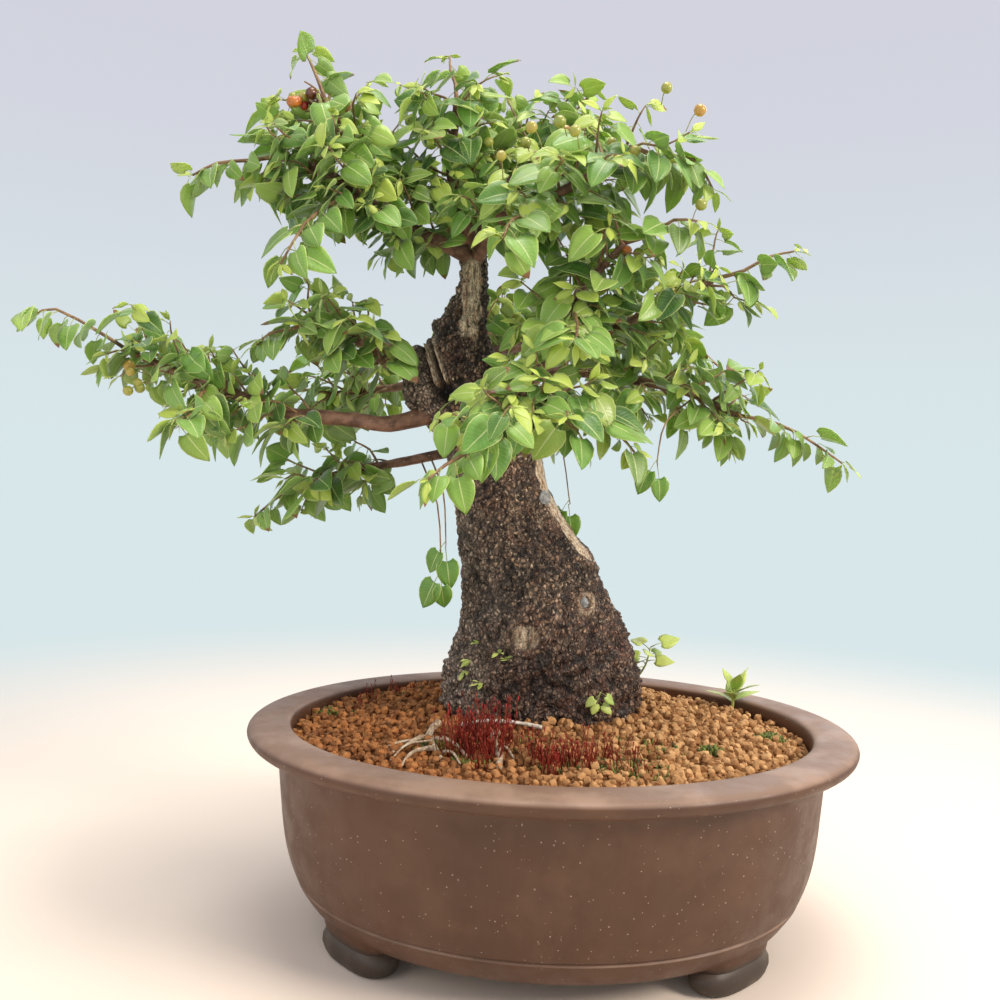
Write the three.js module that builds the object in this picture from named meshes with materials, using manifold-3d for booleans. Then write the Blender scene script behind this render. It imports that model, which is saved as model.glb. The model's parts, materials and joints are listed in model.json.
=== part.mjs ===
// A broadleaf bonsai in an unglazed oval pot, in millimetres, +Z up, +X to the right, -Y to the front.
// The pot stands on four moulded feet. Tree heights are measured from the top of the pot's rim.
import * as THREE from 'three';
import { mergeVertices } from 'three/addons/utils/BufferGeometryUtils.js';
import Module from 'manifold-3d';

const wasm = await Module();
wasm.setup();

// Pot
const potLength = 440; // over the rim, left to right
const potDepth = 360; // over the rim, front to back
const potHeight = 150; // feet included
const rimWidth = 31; // the flat top of the rim
const rimEdge = 14; // height of the rounded edge
const rimOverhang = 22; // how far the edge stands out from the body
const wallThickness = 9.5;
const floorThickness = 12;
const footHeight = 20;
const footLength = 72;
const footWidth = 32;
const footPlace = 41; // the oval's angle at each foot, in degrees
const potSides = 32;

// Drainage
const drainRadius = 14;
const drainSpacing = 150; // between the two holes
const screenSize = 44;
const screenThickness = 1.8;
const screenPitch = 10; // from one mesh hole to the next
const screenHole = 7;
const clipRadius = 0.8; // of the wire that holds a screen down

// Soil
const soilBelowRim = 16; // at the wall
const soilMound = 25; // extra height at the trunk
const soilMoundReach = 92;

// Tree
const treeHeight = 485; // from the rim to the highest leaf
const drawnTreeHeight = 485; // the height at which the points below were set out
const trunkGirth = 1; // scale of the trunk's thickness
const limbGirth = 1; // scale of the limbs' thickness
const trunkSides = 20;
const trunkRings = 28;
const leafLength = 29;
const leafWidth = 23;
const leafThickness = 0.8;
const petioleLength = 13;
const petioleWidth = 0.8;

const gap = 0.3; // between two pieces that rest against each other

const scaleOfTree = treeHeight / drawnTreeHeight;

const finishes = {
  stoneware: { color: 0x6b564f, roughness: 0.62, metalness: 0 },
  soil: { color: 0xb0764a, roughness: 0.95, metalness: 0 },
  bark: { color: 0x4a3b35, roughness: 0.9, metalness: 0 },
  twig: { color: 0x7a5a44, roughness: 0.75, metalness: 0 },
  leaf: { color: 0x5c8f3a, roughness: 0.45, metalness: 0 },
  youngLeaf: { color: 0x9cc44e, roughness: 0.5, metalness: 0 },
  berry: { color: 0x9a8a3c, roughness: 0.35, metalness: 0 },
  paste: { color: 0x8d8d8a, roughness: 0.8, metalness: 0 },
  deadwood: { color: 0xcdbb9f, roughness: 0.85, metalness: 0 },
  moss: { color: 0x7c2418, roughness: 0.8, metalness: 0 },
  screen: { color: 0x2c2f2d, roughness: 0.6, metalness: 0 },
  wire: { color: 0xb9bcc0, roughness: 0.4, metalness: 1 },
};

const group = new THREE.Group();

// ---------------------------------------------------------------- solids

// The same sequence of numbers from 0 to 1 for the same seed.
function numbersFrom(seed) {
  let state = seed * 7919 + 17;
  return () => {
    state = (state * 1664525 + 1013904223) % 4294967296;
    return state / 4294967296;
  };
}

// A closed geometry as a solid, its faces turned outwards.
function solidOf(geometry) {
  const bare = new THREE.BufferGeometry();
  const flat = geometry.index ? geometry.toNonIndexed() : geometry;
  bare.setAttribute('position', flat.getAttribute('position'));
  const merged = mergeVertices(bare, 1e-3);
  const corners = [...merged.index.array];
  const triangles = [];
  for (let i = 0; i < corners.length; i += 3) {
    const [a, b, c] = corners.slice(i, i + 3);
    if (a !== b && b !== c && c !== a) triangles.push([a, b, c]);
  }
  const build = (turned) =>
    new wasm.Manifold(
      new wasm.Mesh({
        numProp: 3,
        vertProperties: new Float32Array(merged.attributes.position.array),
        triVerts: new Uint32Array(triangles.flatMap(([a, b, c]) => (turned ? [a, c, b] : [a, b, c]))),
      }),
    );
  const solid = build(false);
  return solid.volume() < 0 ? build(true) : solid;
}

function geometryOf(solid) {
  const mesh = solid.getMesh();
  const geometry = new THREE.BufferGeometry();
  const points = [];
  for (let i = 0; i < mesh.vertProperties.length; i += mesh.numProp) {
    points.push(...mesh.vertProperties.slice(i, i + 3));
  }
  geometry.setAttribute('position', new THREE.Float32BufferAttribute(points, 3));
  geometry.setIndex([...mesh.triVerts]);
  geometry.computeVertexNormals();
  return geometry;
}

const joined = (solids) => solids.reduce((whole, solid) => whole.add(solid));

// What is left of a solid in one piece after its neighbours are cut away.
function largestPiece(solid) {
  const pieces = solid.decompose();
  return pieces.reduce((best, piece) => (piece.volume() > best.volume() ? piece : best));
}

function boxesMeet(first, second) {
  const a = first.boundingBox();
  const b = second.boundingBox();
  return [0, 1, 2].every((i) => a.min[i] <= b.max[i] && b.min[i] <= a.max[i]);
}

const overlaps = (first, second) => boxesMeet(first, second) && !first.intersect(second).isEmpty();

const cutBy = (solid, tools) =>
  tools.filter((tool) => boxesMeet(solid, tool)).reduce((rest, tool) => rest.subtract(tool), solid);

function place(name, finish, solid) {
  const mesh = new THREE.Mesh(geometryOf(solid), new THREE.MeshStandardMaterial(finishes[finish]));
  mesh.name = name;
  group.add(mesh);
}

// A tube along a smooth curve through the points, its radius given from start (0) to end (1).
function taperedTube(points, radiusAt, sides, steps, tension = 0.5) {
  const path = new THREE.CatmullRomCurve3(points, false, 'catmullrom', tension);
  const corners = [];
  for (let i = 0; i < sides; i += 1) {
    const turn = (i / sides) * Math.PI * 2;
    corners.push(new THREE.Vector2(Math.cos(turn), Math.sin(turn)));
  }
  const geometry = new THREE.ExtrudeGeometry(new THREE.Shape(corners), { steps, extrudePath: path });
  const stations = path.getSpacedPoints(steps);
  const position = geometry.getAttribute('position');
  const point = new THREE.Vector3();
  for (let i = 0; i < position.count; i += 1) {
    point.fromBufferAttribute(position, i);
    let nearest = 0;
    stations.forEach((station, k) => {
      if (station.distanceTo(point) < stations[nearest].distanceTo(point)) nearest = k;
    });
    point.sub(stations[nearest]).multiplyScalar(radiusAt(nearest / steps)).add(stations[nearest]);
    position.setXYZ(i, point.x, point.y, point.z);
  }
  return geometry;
}

const evenTaper = (thick, thin, grow = 0) => (along) => thick + (thin - thick) * along + grow;

function movedTo(geometry, x, y, z) {
  return geometry.clone().translate(x, y, z);
}

// ---------------------------------------------------------------- pot

// The point on the pot's oval, drawn in from the rim's outer edge by the inset.
function ovalPoint(inset, angle) {
  const a = potLength / 2;
  const b = potDepth / 2;
  const outward = new THREE.Vector2(Math.cos(angle) / a, Math.sin(angle) / b).normalize();
  const x = a * Math.cos(angle) - inset * outward.x;
  const y = b * Math.sin(angle) - inset * outward.y;
  return new THREE.Vector2(x, y);
}

// A solid of the pot's oval plan, from a profile of [inset, height] pairs that starts and ends on the axis.
function ovalSolid(profile, lift) {
  const radius = potDepth / 2;
  const deepest = Math.max(...profile.map(([inset]) => inset).filter((inset) => inset < radius));
  const points = profile.map(([inset, z]) => new THREE.Vector2(radius - inset, z));
  const geometry = new THREE.LatheGeometry(points, potSides);
  const position = geometry.getAttribute('position');
  for (let i = 0; i < position.count; i += 1) {
    const r = Math.hypot(position.getX(i), position.getZ(i));
    const angle = Math.atan2(position.getX(i), position.getZ(i));
    const inset = Math.min(radius - r, deepest);
    const place2d = ovalPoint(inset, angle).multiplyScalar(Math.min(1, r / (radius - deepest)));
    const z = position.getY(i);
    position.setXYZ(i, place2d.x, place2d.y, lift ? lift(place2d.x, place2d.y, z) : z);
  }
  return solidOf(geometry);
}

// The body's outside, from the underside up to the rounded edge: how far in it stands, and the share
// of its height.
const bodyCurve = [
  [29.5, 0],
  [21, 0.085],
  [15.5, 0.19],
  [14.2, 0.225],
  [9.7, 0.31],
  [6.6, 0.4],
  [4.4, 0.5],
  [3, 0.64],
  [1.2, 0.8],
  [0, 1],
];
const bodyTop = potHeight - rimEdge;
const floorTop = footHeight + floorThickness;
const bodyHeightAt = (share) => footHeight + share * (bodyTop - footHeight);
const bodyInset = (extra) => rimOverhang + extra;

// The body's inside, from the rim down to the floor.
function innerCurve() {
  const shares = [0.93, 0.64, 0.4, 0.22];
  const curve = shares.map((share) => {
    const k = bodyCurve.findIndex(([, at]) => at >= share);
    const [lowExtra, low] = bodyCurve[k - 1];
    const [highExtra, high] = bodyCurve[k];
    const extra = lowExtra + ((share - low) / (high - low)) * (highExtra - lowExtra);
    return [bodyInset(extra) + wallThickness, Math.max(bodyHeightAt(share), floorTop + 4)];
  });
  const [lastInset] = curve[curve.length - 1];
  return [...curve, [lastInset + 14, floorTop]];
}

function potSolid() {
  const outside = bodyCurve.map(([extra, share]) => [bodyInset(extra), bodyHeightAt(share)]);
  const edge = [
    [rimOverhang * 0.5, bodyTop + 0.3],
    [3, bodyTop + 3],
    [0, potHeight - 6.5],
    [1.2, potHeight - 2.6],
    [6, potHeight - 0.8],
    [rimWidth - 2.5, potHeight],
    [rimWidth, potHeight - 2],
  ];
  const underside = [potDepth / 2, footHeight];
  const floor = [potDepth / 2, floorTop];
  const profile = [underside, ...outside, ...edge, ...innerCurve(), floor];
  const drains = [-1, 1].map((side) => {
    const hole = new THREE.CylinderGeometry(drainRadius, drainRadius, floorThickness * 3, 20);
    hole.rotateX(Math.PI / 2).translate((side * drainSpacing) / 2, 0, footHeight + floorThickness / 2);
    return solidOf(hole);
  });
  return cutBy(joined([ovalSolid(profile), ...feet()]), drains);
}

// A foot is a low block with a lobed outline, widest at its two ends, under the turn of the body.
function feet() {
  const outline = new THREE.Shape();
  const half = footLength / 2;
  const deep = footWidth / 2;
  outline.moveTo(-half, -deep * 0.4);
  outline.quadraticCurveTo(-half * 0.95, deep, -half * 0.45, deep * 0.9);
  outline.quadraticCurveTo(0, deep * 0.6, half * 0.45, deep * 0.9);
  outline.quadraticCurveTo(half * 0.95, deep, half, -deep * 0.4);
  outline.quadraticCurveTo(0, -deep * 1.2, -half, -deep * 0.4);
  const rise = footHeight + floorThickness / 2;
  return [footPlace, 180 - footPlace, 180 + footPlace, 360 - footPlace].map((degrees) => {
    const angle = THREE.MathUtils.degToRad(degrees);
    const spot = ovalPoint(bodyInset(bodyCurve[0][0]) + deep * 0.55, angle);
    const foot = new THREE.ExtrudeGeometry(outline, { depth: rise, bevelEnabled: false, curveSegments: 4 });
    const facing = Math.atan2(Math.sin(angle) / potDepth, Math.cos(angle) / potLength);
    foot.rotateZ(facing - Math.PI / 2).translate(spot.x, spot.y, 0);
    return solidOf(foot);
  });
}

// ---------------------------------------------------------------- drainage

const screenPlaces = [-drainSpacing / 2, drainSpacing / 2];
const screenBase = floorTop + gap;

// A square sheet of plastic mesh that lies over a drain hole.
function screenSolid(x) {
  const level = screenBase + screenThickness / 2;
  const sheet = new THREE.BoxGeometry(screenSize, screenSize, screenThickness).translate(x, 0, level);
  const rows = Math.floor(screenSize / screenPitch / 2);
  const holes = [];
  for (let i = -rows; i < rows; i += 1) {
    for (let j = -rows; j < rows; j += 1) {
      const hole = new THREE.BoxGeometry(screenHole, screenHole, screenThickness * 3);
      holes.push(solidOf(hole.translate(x + (i + 0.5) * screenPitch, (j + 0.5) * screenPitch, level)));
    }
  }
  return cutBy(solidOf(sheet), holes);
}

// A staple of wire over the screen, with its two legs down the drain hole and turned out under the pot.
function clipSolid(x, grow = 0) {
  const top = screenBase + screenThickness + gap + clipRadius;
  const bottom = footHeight - gap - clipRadius;
  const leg = screenPitch / 2;
  const half = [
    [leg * 0.5, top],
    [leg, top - 0.6],
    [leg, bottom + 2],
    [leg + 1.2, bottom - 0.2],
    [drainRadius + 8, bottom],
  ];
  const left = half.map(([dx, z]) => new THREE.Vector3(x - dx, leg, z)).reverse();
  const right = half.map(([dx, z]) => new THREE.Vector3(x + dx, leg, z));
  return solidOf(taperedTube([...left, ...right], () => clipRadius + grow, 4, 20, 0.15));
}

// ---------------------------------------------------------------- soil

const trunkFoot = new THREE.Vector2(-6, 25);

function soilTop(x, y) {
  const away = Math.hypot(x - trunkFoot.x, y - trunkFoot.y) / soilMoundReach;
  const ripple = Math.sin(x / 23) * Math.cos(y / 19);
  return potHeight - soilBelowRim + soilMound * Math.exp((-away * away) / 2) + ripple;
}

function soilSolid(hollows) {
  const wall = innerCurve().map(([inset, z]) => [inset + gap, z]);
  const [topInset] = wall[0];
  const bottom = wall[wall.length - 1];
  const ringInsets = [topInset, 58, 82, 106, 130, 156];
  const top = ringInsets.map((inset) => [inset, potHeight]).reverse();
  const side = wall.map(([inset, z]) => [inset, Math.min(z, potHeight - soilBelowRim - 6) + gap]);
  const profile = [
    [potDepth / 2, potHeight],
    ...top,
    ...side.filter(([, z]) => z < potHeight - soilBelowRim - 3),
    [potDepth / 2, bottom[1] + gap],
  ];
  const lifted = ovalSolid(profile, (x, y, z) => (z === potHeight ? soilTop(x, y) : z));
  return cutBy(lifted, hollows);
}

// ---------------------------------------------------------------- trunk

const onTree = ([x, y, height]) => new THREE.Vector3(x, y, 0).multiplyScalar(scaleOfTree)
  .add(new THREE.Vector3(0, 0, potHeight + height * scaleOfTree));

// [height, middle x, middle y, half-width, half-depth], from the buried foot to the top of the leader.
const trunkStations = [
  [-72, -6, 26, 52, 44],
  [-45, -6, 26, 66, 56],
  [-10, -6, 26, 71, 60],
  [20, -6, 26, 72, 60],
  [36, -7, 26, 71, 58],
  [48, -6.5, 26, 68, 56],
  [60, -5.5, 26, 65.5, 54],
  [72, -7, 26, 62, 52],
  [84, -11, 27, 58, 49.5],
  [95, -14.5, 28, 55, 47],
  [108, -15.5, 28, 54.5, 46],
  [125, -22, 29, 50, 43],
  [145, -31, 30, 43, 40],
  [168, -41, 31, 39, 37],
  [198, -48, 31, 37, 35],
  [212, -55, 30, 38, 35],
  [228, -70, 28, 44, 37],
  [250, -77, 26, 41, 36],
  [274, -79, 24, 33, 31],
  [292, -75, 22, 22, 23],
  [305, -69, 21, 15, 16],
  [322, -66, 20, 12, 12],
  [352, -63, 20, 10, 10],
];

// Swellings on the trunk: [height, angle in degrees from +X, how far it stands out, its reach].
const swellings = [
  [66, -96, 8, 15],
  [30, -25, 6, 24],
  [25, -140, 6, 24],
  [55, -55, 5, 18],
  [12, 170, 7, 20],
  [8, 60, 6, 28],
  [236, -150, 5, 16],
];

function stationAt(height) {
  const next = trunkStations.findIndex(([at]) => at >= height);
  const k = Math.max(1, next < 0 ? trunkStations.length - 1 : next);
  const low = trunkStations[k - 1];
  const high = trunkStations[k];
  const share = Math.min(1, Math.max(0, (height - low[0]) / (high[0] - low[0])));
  return low.map((value, i) => value + (high[i] - value) * share);
}

function trunkRelief(angle, height) {
  const ridges = 1.6 * Math.sin(5 * angle + height / 26) + 1.1 * Math.sin(9 * angle - height / 17);
  const roots = 7 * Math.max(0, Math.cos(5 * angle + 0.5)) * Math.exp(-(((height + 8) / 24) ** 2));
  const slender = Math.min(1, stationAt(height)[3] / 40);
  const lumps = swellings.map(([at, degrees, out, reach]) => {
    const turn = Math.atan2(
      Math.sin(angle - THREE.MathUtils.degToRad(degrees)),
      Math.cos(angle - THREE.MathUtils.degToRad(degrees)),
    );
    const across = turn * stationAt(at)[3];
    return out * Math.exp(-((height - at) ** 2 + across ** 2) / (2 * reach ** 2));
  });
  return ridges * slender + roots + lumps.reduce((sum, lump) => sum + lump, 0);
}

function trunkSolid(grow = 0) {
  const lowest = trunkStations[0][0];
  const tall = trunkStations[trunkStations.length - 1][0] - lowest;
  const geometry = new THREE.CylinderGeometry(1, 1, 1, trunkSides, trunkRings);
  const position = geometry.getAttribute('position');
  for (let i = 0; i < position.count; i += 1) {
    const share = position.getY(i) + 0.5;
    const height = lowest + share * tall;
    const [, x, y, wide, deep] = stationAt(height);
    const r = Math.min(1, Math.hypot(position.getX(i), position.getZ(i)));
    const angle = Math.atan2(-position.getZ(i), position.getX(i));
    const relief = trunkRelief(angle, height);
    const point = onTree([
      x + r * (wide + relief) * trunkGirth * Math.cos(angle),
      y + r * (deep + relief) * trunkGirth * Math.sin(angle),
      height,
    ]);
    const growEnds = share === 1 ? grow : share === 0 ? -grow : 0;
    position.setXYZ(
      i,
      point.x + r * grow * Math.cos(angle),
      point.y + r * grow * Math.sin(angle),
      point.z + growEnds,
    );
  }
  return solidOf(geometry);
}

// The trunk's surface at a height and an angle, moved out by a distance.
function onTrunk(height, degrees, out) {
  const angle = THREE.MathUtils.degToRad(degrees);
  const [, x, y, wide, deep] = stationAt(height);
  const relief = trunkRelief(angle, height);
  return onTree([
    x + ((wide + relief) * trunkGirth + out) * Math.cos(angle),
    y + ((deep + relief) * trunkGirth + out) * Math.sin(angle),
    height,
  ]);
}

// ---------------------------------------------------------------- limbs

// Each limb's middle line starts inside the wood that carries it. [thick, thin] are its end radii.
const limbs = {
  crown_left: {
    radii: [6, 2.6],
    route: [
      [-64, 20, 342], [-88, 6, 352], [-110, -8, 358],
      [-141, -20, 376], [-168, -26, 393], [-200, -30, 404],
    ],
  },
  upper_left: {
    radii: [3.6, 2],
    route: [[-122, -13, 365], [-140, -22, 398], [-151, -28, 418], [-168, -33, 442]],
  },
  crown_centre: {
    radii: [6, 2.2],
    route: [[-63, 20, 345], [-75, 13, 380], [-82, 1, 408], [-78, -8, 434], [-77, -13, 448]],
  },
  crown_right: {
    radii: [5.5, 2.2],
    route: [[-63, 21, 344], [-54, 38, 388], [-33, 50, 425], [-8, 58, 450]],
  },
  crown_front: {
    radii: [5, 2.2],
    route: [
      [-62, 18, 340], [-44, -16, 366], [-16, -42, 370],
      [8, -57, 374], [30, -60, 390], [48, -54, 402],
    ],
  },
  crown_back: {
    radii: [5, 2.2],
    route: [[-62, 22, 338], [-60, 72, 398], [-49, 105, 440], [-42, 112, 456]],
  },
  right_rising: {
    radii: [5, 2.2],
    route: [[-55, 16, 226], [-22, 2, 244], [-4, -15, 264], [6, -32, 290], [20, -44, 312], [44, -52, 338]],
  },
  right_mid: {
    radii: [4, 2],
    route: [[-8, -10, 259], [14, -16, 274], [34, -10, 284], [60, -5, 297], [91, -5, 311], [112, -9, 324]],
  },
  right_low: {
    radii: [5, 2.2],
    route: [
      [-62, 30, 246], [-28, 31, 253], [8, 32, 261], [41, 28, 257],
      [69, 22, 252], [100, 15, 244], [132, 8, 228],
    ],
  },
  right_back: {
    radii: [4.5, 2.2],
    route: [[-66, 36, 272], [-40, 56, 281], [-4, 86, 291], [45, 112, 302], [90, 118, 301]],
  },
  front_low: {
    radii: [4.2, 2],
    route: [[-60, 12, 236], [-42, -26, 234], [-30, -62, 229], [-31, -98, 215], [-39, -118, 203]],
  },
  front_right: {
    radii: [3, 1.8],
    route: [[-31, -62, 229], [-8, -84, 230], [8, -94, 222]],
  },
  left_low: {
    radii: [7, 2.2],
    route: [
      [-78, 22, 217], [-102, 17, 217], [-125, 1, 216], [-160, -8, 219],
      [-195, -12, 221], [-226, -14, 231], [-270, -14, 246], [-319, -12, 266],
    ],
  },
  left_lower: {
    radii: [4.5, 2.2],
    route: [[-62, 44, 197], [-92, 50, 195], [-124, 48, 188], [-162, 42, 181], [-190, 35, 171]],
  },
  left_mid: {
    radii: [4.5, 2.2],
    route: [[-92, 22, 254], [-117, 20, 258], [-133, 5, 265], [-153, -8, 280], [-180, -18, 290]],
  },
  left_back: {
    radii: [4.5, 2.2],
    route: [[-84, 40, 248], [-108, 62, 252], [-149, 95, 251], [-196, 114, 248]],
  },
  back_low: {
    radii: [4.5, 2.2],
    route: [[-73, 34, 276], [-68, 66, 288], [-62, 104, 304], [-48, 134, 318]],
  },
};

const pathOf = (limb) => limb.route.map(onTree);

function limbSolid(limb, grow = 0) {
  const [thick, thin] = limb.radii.map((radius) => radius * limbGirth * scaleOfTree);
  const steps = limb.route.length + 2;
  return solidOf(taperedTube(pathOf(limb), evenTaper(thick, thin, grow), 5, steps));
}

function pointOnLimb(limb, along) {
  return new THREE.CatmullRomCurve3(pathOf(limb), false, 'catmullrom', 0.5).getPointAt(along);
}

// ---------------------------------------------------------------- shoots and leaves

// A shoot leaves its limb at a share of the limb's length, reaches that far, and carries that many leaves.
const shoots = {
  crown_left_tip: { limb: 'crown_left', at: 0.99, reach: [-34, -6, -8], leaves: 5 },
  crown_left_front: { limb: 'crown_left', at: 0.6, reach: [-30, -40, -38], leaves: 6 },
  crown_left_rear: { limb: 'crown_left', at: 0.7, reach: [-20, 62, 22], leaves: 5 },
  upper_left_tip: { limb: 'upper_left', at: 0.99, reach: [-14, -2, 26], leaves: 5 },
  upper_left_side: { limb: 'upper_left', at: 0.45, reach: [-46, 10, 14], leaves: 5 },
  crown_centre_tip: { limb: 'crown_centre', at: 0.99, reach: [8, -6, 27], leaves: 6 },
  crown_right_tip: { limb: 'crown_right', at: 0.99, reach: [26, -2, 20], leaves: 6 },
  crown_right_side: { limb: 'crown_right', at: 0.72, reach: [62, 26, -4], leaves: 6 },
  crown_front_tip: { limb: 'crown_front', at: 0.99, reach: [28, 6, -12], leaves: 6 },
  crown_front_side: { limb: 'crown_front', at: 0.5, reach: [6, -48, -34], leaves: 6 },
  crown_back_tip: { limb: 'crown_back', at: 0.99, reach: [-6, 22, 6], leaves: 6 },
  right_rising_tip: { limb: 'right_rising', at: 0.99, reach: [26, -6, 4], leaves: 6 },
  right_rising_side: { limb: 'right_rising', at: 0.66, reach: [10, -44, -12], leaves: 5 },
  right_mid_tip: { limb: 'right_mid', at: 0.99, reach: [34, -4, 18], leaves: 6 },
  right_low_tip: { limb: 'right_low', at: 0.99, reach: [66, -8, -16], leaves: 7 },
  right_back_tip: { limb: 'right_back', at: 0.99, reach: [42, -8, -12], leaves: 6 },
  front_low_tip: { limb: 'front_low', at: 0.99, reach: [-22, -14, -6], leaves: 5 },
  front_right_tip: { limb: 'front_right', at: 0.99, reach: [26, -8, -8], leaves: 5 },
  left_low_tip: { limb: 'left_low', at: 0.99, reach: [-58, 2, 18], leaves: 6 },
  left_low_side: { limb: 'left_low', at: 0.72, reach: [-10, -46, -14], leaves: 6 },
  left_mid_tip: { limb: 'left_mid', at: 0.99, reach: [-30, -8, -6], leaves: 5 },
  left_back_tip: { limb: 'left_back', at: 0.99, reach: [-38, 6, 6], leaves: 6 },
  left_lower_tip: { limb: 'left_lower', at: 0.99, reach: [-26, -8, -10], leaves: 5 },
  back_low_tip: { limb: 'back_low', at: 0.99, reach: [34, 14, -4], leaves: 6 },
};

const twigRadii = [1.9, 1.2];
const forkAngle = 52; // between a shoot and its side twigs, in degrees
const forkShare = 0.62; // side twig length over shoot length
const leafTurn = 137.5; // from one leaf to the next, in degrees

// The twigs of a shoot: the main one and two that fork from it.
function twigsOf(shoot) {
  const start = pointOnLimb(limbs[shoot.limb], shoot.at);
  const reach = new THREE.Vector3(...shoot.reach).multiplyScalar(scaleOfTree);
  const arch = new THREE.Vector3(0, 0, reach.length() * 0.08);
  const end = start.clone().add(reach);
  const middle = start.clone().lerp(end, 0.5).add(arch);
  const main = [start, middle, end];
  const across = reach.clone().cross(new THREE.Vector3(0, 0, 1)).normalize();
  const forks = [-1, 1].map((side) => {
    const root = start.clone().lerp(end, side < 0 ? 0.35 : 0.6).add(arch.clone().multiplyScalar(0.9));
    const turn = THREE.MathUtils.degToRad(forkAngle);
    const out = reach.clone().multiplyScalar(Math.cos(turn) * forkShare);
    out.addScaledVector(across, side * Math.sin(turn) * reach.length() * forkShare);
    out.z += reach.length() * 0.1;
    return [root, root.clone().addScaledVector(out, 0.5), root.clone().add(out)];
  });
  return [main, ...forks];
}

function twigSolid(points) {
  const [thick, thin] = twigRadii;
  return solidOf(taperedTube(points, evenTaper(thick, thin), 4, 2));
}

// A leaf's outline on its stalk: the foot of the stalk is at the origin and the tip lies along +Y.
function leafOutline(length, width, stalkLength, stalkWidth) {
  const outline = new THREE.Shape();
  const [edge, widest] = [stalkWidth / 2, stalkLength + length * 0.38];
  outline.moveTo(-edge, 0).lineTo(edge, 0).lineTo(edge, stalkLength).lineTo(width / 2, widest);
  outline.lineTo(0, stalkLength + length).lineTo(-width / 2, widest).lineTo(-edge, stalkLength);
  return outline;
}

// The outline given its thickness and turned to run along a direction, its upper face as level as it can be.
function leafSolid(outline, thickness, root, along) {
  const face = new THREE.Vector3(0, 0, 1).addScaledVector(along, -along.z).normalize();
  const basis = new THREE.Matrix4().makeBasis(along.clone().cross(face), along, face).setPosition(root);
  const leaf = new THREE.ExtrudeGeometry(outline, { depth: thickness, bevelEnabled: false });
  return solidOf(leaf.translate(0, 0, -thickness / 2).applyMatrix4(basis));
}

// The leaves of a shoot, spread along its twigs and turning round them. One that would meet something
// is left out.
function leavesOf(twigs, count, inTheWay, seed) {
  const chance = numbersFrom(seed);
  const kept = [];
  let turn = chance() * 360;
  for (let i = 0; i < count * 5 && kept.length < count; i += 1) {
    const twig = new THREE.CatmullRomCurve3(twigs[i % twigs.length], false, 'catmullrom', 0.5);
    const rank = Math.floor(i / twigs.length);
    const share = Math.max(0.1, 0.97 - (rank % 4) * 0.22 - chance() * 0.08);
    const root = twig.getPointAt(share);
    const ahead = twig.getTangentAt(share);
    turn += leafTurn;
    const angle = THREE.MathUtils.degToRad(turn);
    const across = ahead.clone().cross(new THREE.Vector3(0, 0, 1)).normalize();
    const up = across.clone().cross(ahead).normalize();
    const along = ahead.clone().multiplyScalar(0.75).add(new THREE.Vector3(0, 0, -0.2 - chance() * 0.5));
    along.addScaledVector(across, Math.cos(angle)).addScaledVector(up, Math.sin(angle) * 0.6).normalize();
    const size = (0.75 + chance() * 0.4) * scaleOfTree;
    const leaf = (room) => {
      const length = leafLength * size + room;
      const width = leafWidth * size + room * 2;
      const outline = leafOutline(length, width, petioleLength * size, petioleWidth + room * 2);
      return leafSolid(outline, leafThickness + room * 2, root, along);
    };
    const room = leaf(gap);
    if ([...inTheWay, ...kept].some((solid) => overlaps(room, solid))) continue;
    kept.push(leaf(0));
  }
  return kept;
}

// ---------------------------------------------------------------- small pieces

// Pale wound paste over a pruning cut, as a thin lens on the bark.
function pasteSolid(height, degrees, radius, thickness) {
  const lens = new THREE.SphereGeometry(1, 8, 5);
  const middle = onTrunk(height, degrees, 0);
  const outward = onTrunk(height, degrees, 1).sub(middle).normalize();
  const basis = new THREE.Quaternion().setFromUnitVectors(new THREE.Vector3(0, 0, 1), outward);
  lens.scale(radius, radius * 1.25, thickness).applyQuaternion(basis);
  return solidOf(lens.translate(middle.x, middle.y, middle.z));
}

const onSoil = (x, y, above) => new THREE.Vector3(x, y, soilTop(x, y) + above);

// A dry stick lying across the front of the trunk.
function stickSolid(grow = 0) {
  const lift = 1;
  const points = [onSoil(-62, -46, lift), onSoil(-33, -49, lift + 1), onSoil(-4, -50, lift)];
  return solidOf(taperedTube(points, () => 1.4 + grow, 6, 6));
}

// Dead surface roots: each is [radii, points], and the later ones grow from the first.
const deadRoots = {
  dead_root_left: [
    [[2.4, 1.4], [[-78, -36, 2], [-80, -58, 2], [-74, -80, 3], [-66, -100, 2]]],
    [[1.8, 1.1], [[-80, -58, 2], [-92, -74, 4], [-104, -84, 1]]],
    [[1.6, 1], [[-74, -80, 3], [-88, -92, 4], [-92, -108, 1]]],
    [[1.5, 1], [[-79, -66, 2], [-62, -78, 5], [-52, -92, 1]]],
  ],
  dead_root_front: [[[2.6, 2], [[-35, -58, 2], [-36, -72, 4], [-31, -90, 2], [-30, -106, 1]]]],
};

function rootSolid(branches, grow = 0) {
  return joined(
    branches.map(([[thick, thin], points]) => {
      const path = points.map(([x, y, above]) => onSoil(x, y, above));
      return solidOf(taperedTube(path, evenTaper(thick, thin, grow), 5, 4));
    }),
  );
}

// Moss with upright red stalks on a thin mat: [middle x, y, mat radius, stalks, tallest stalk].
const mossTufts = {
  moss_front_left: [-46, -84, 16, 10, 36],
  moss_front_right: [8, -98, 17, 9, 28],
};

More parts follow.
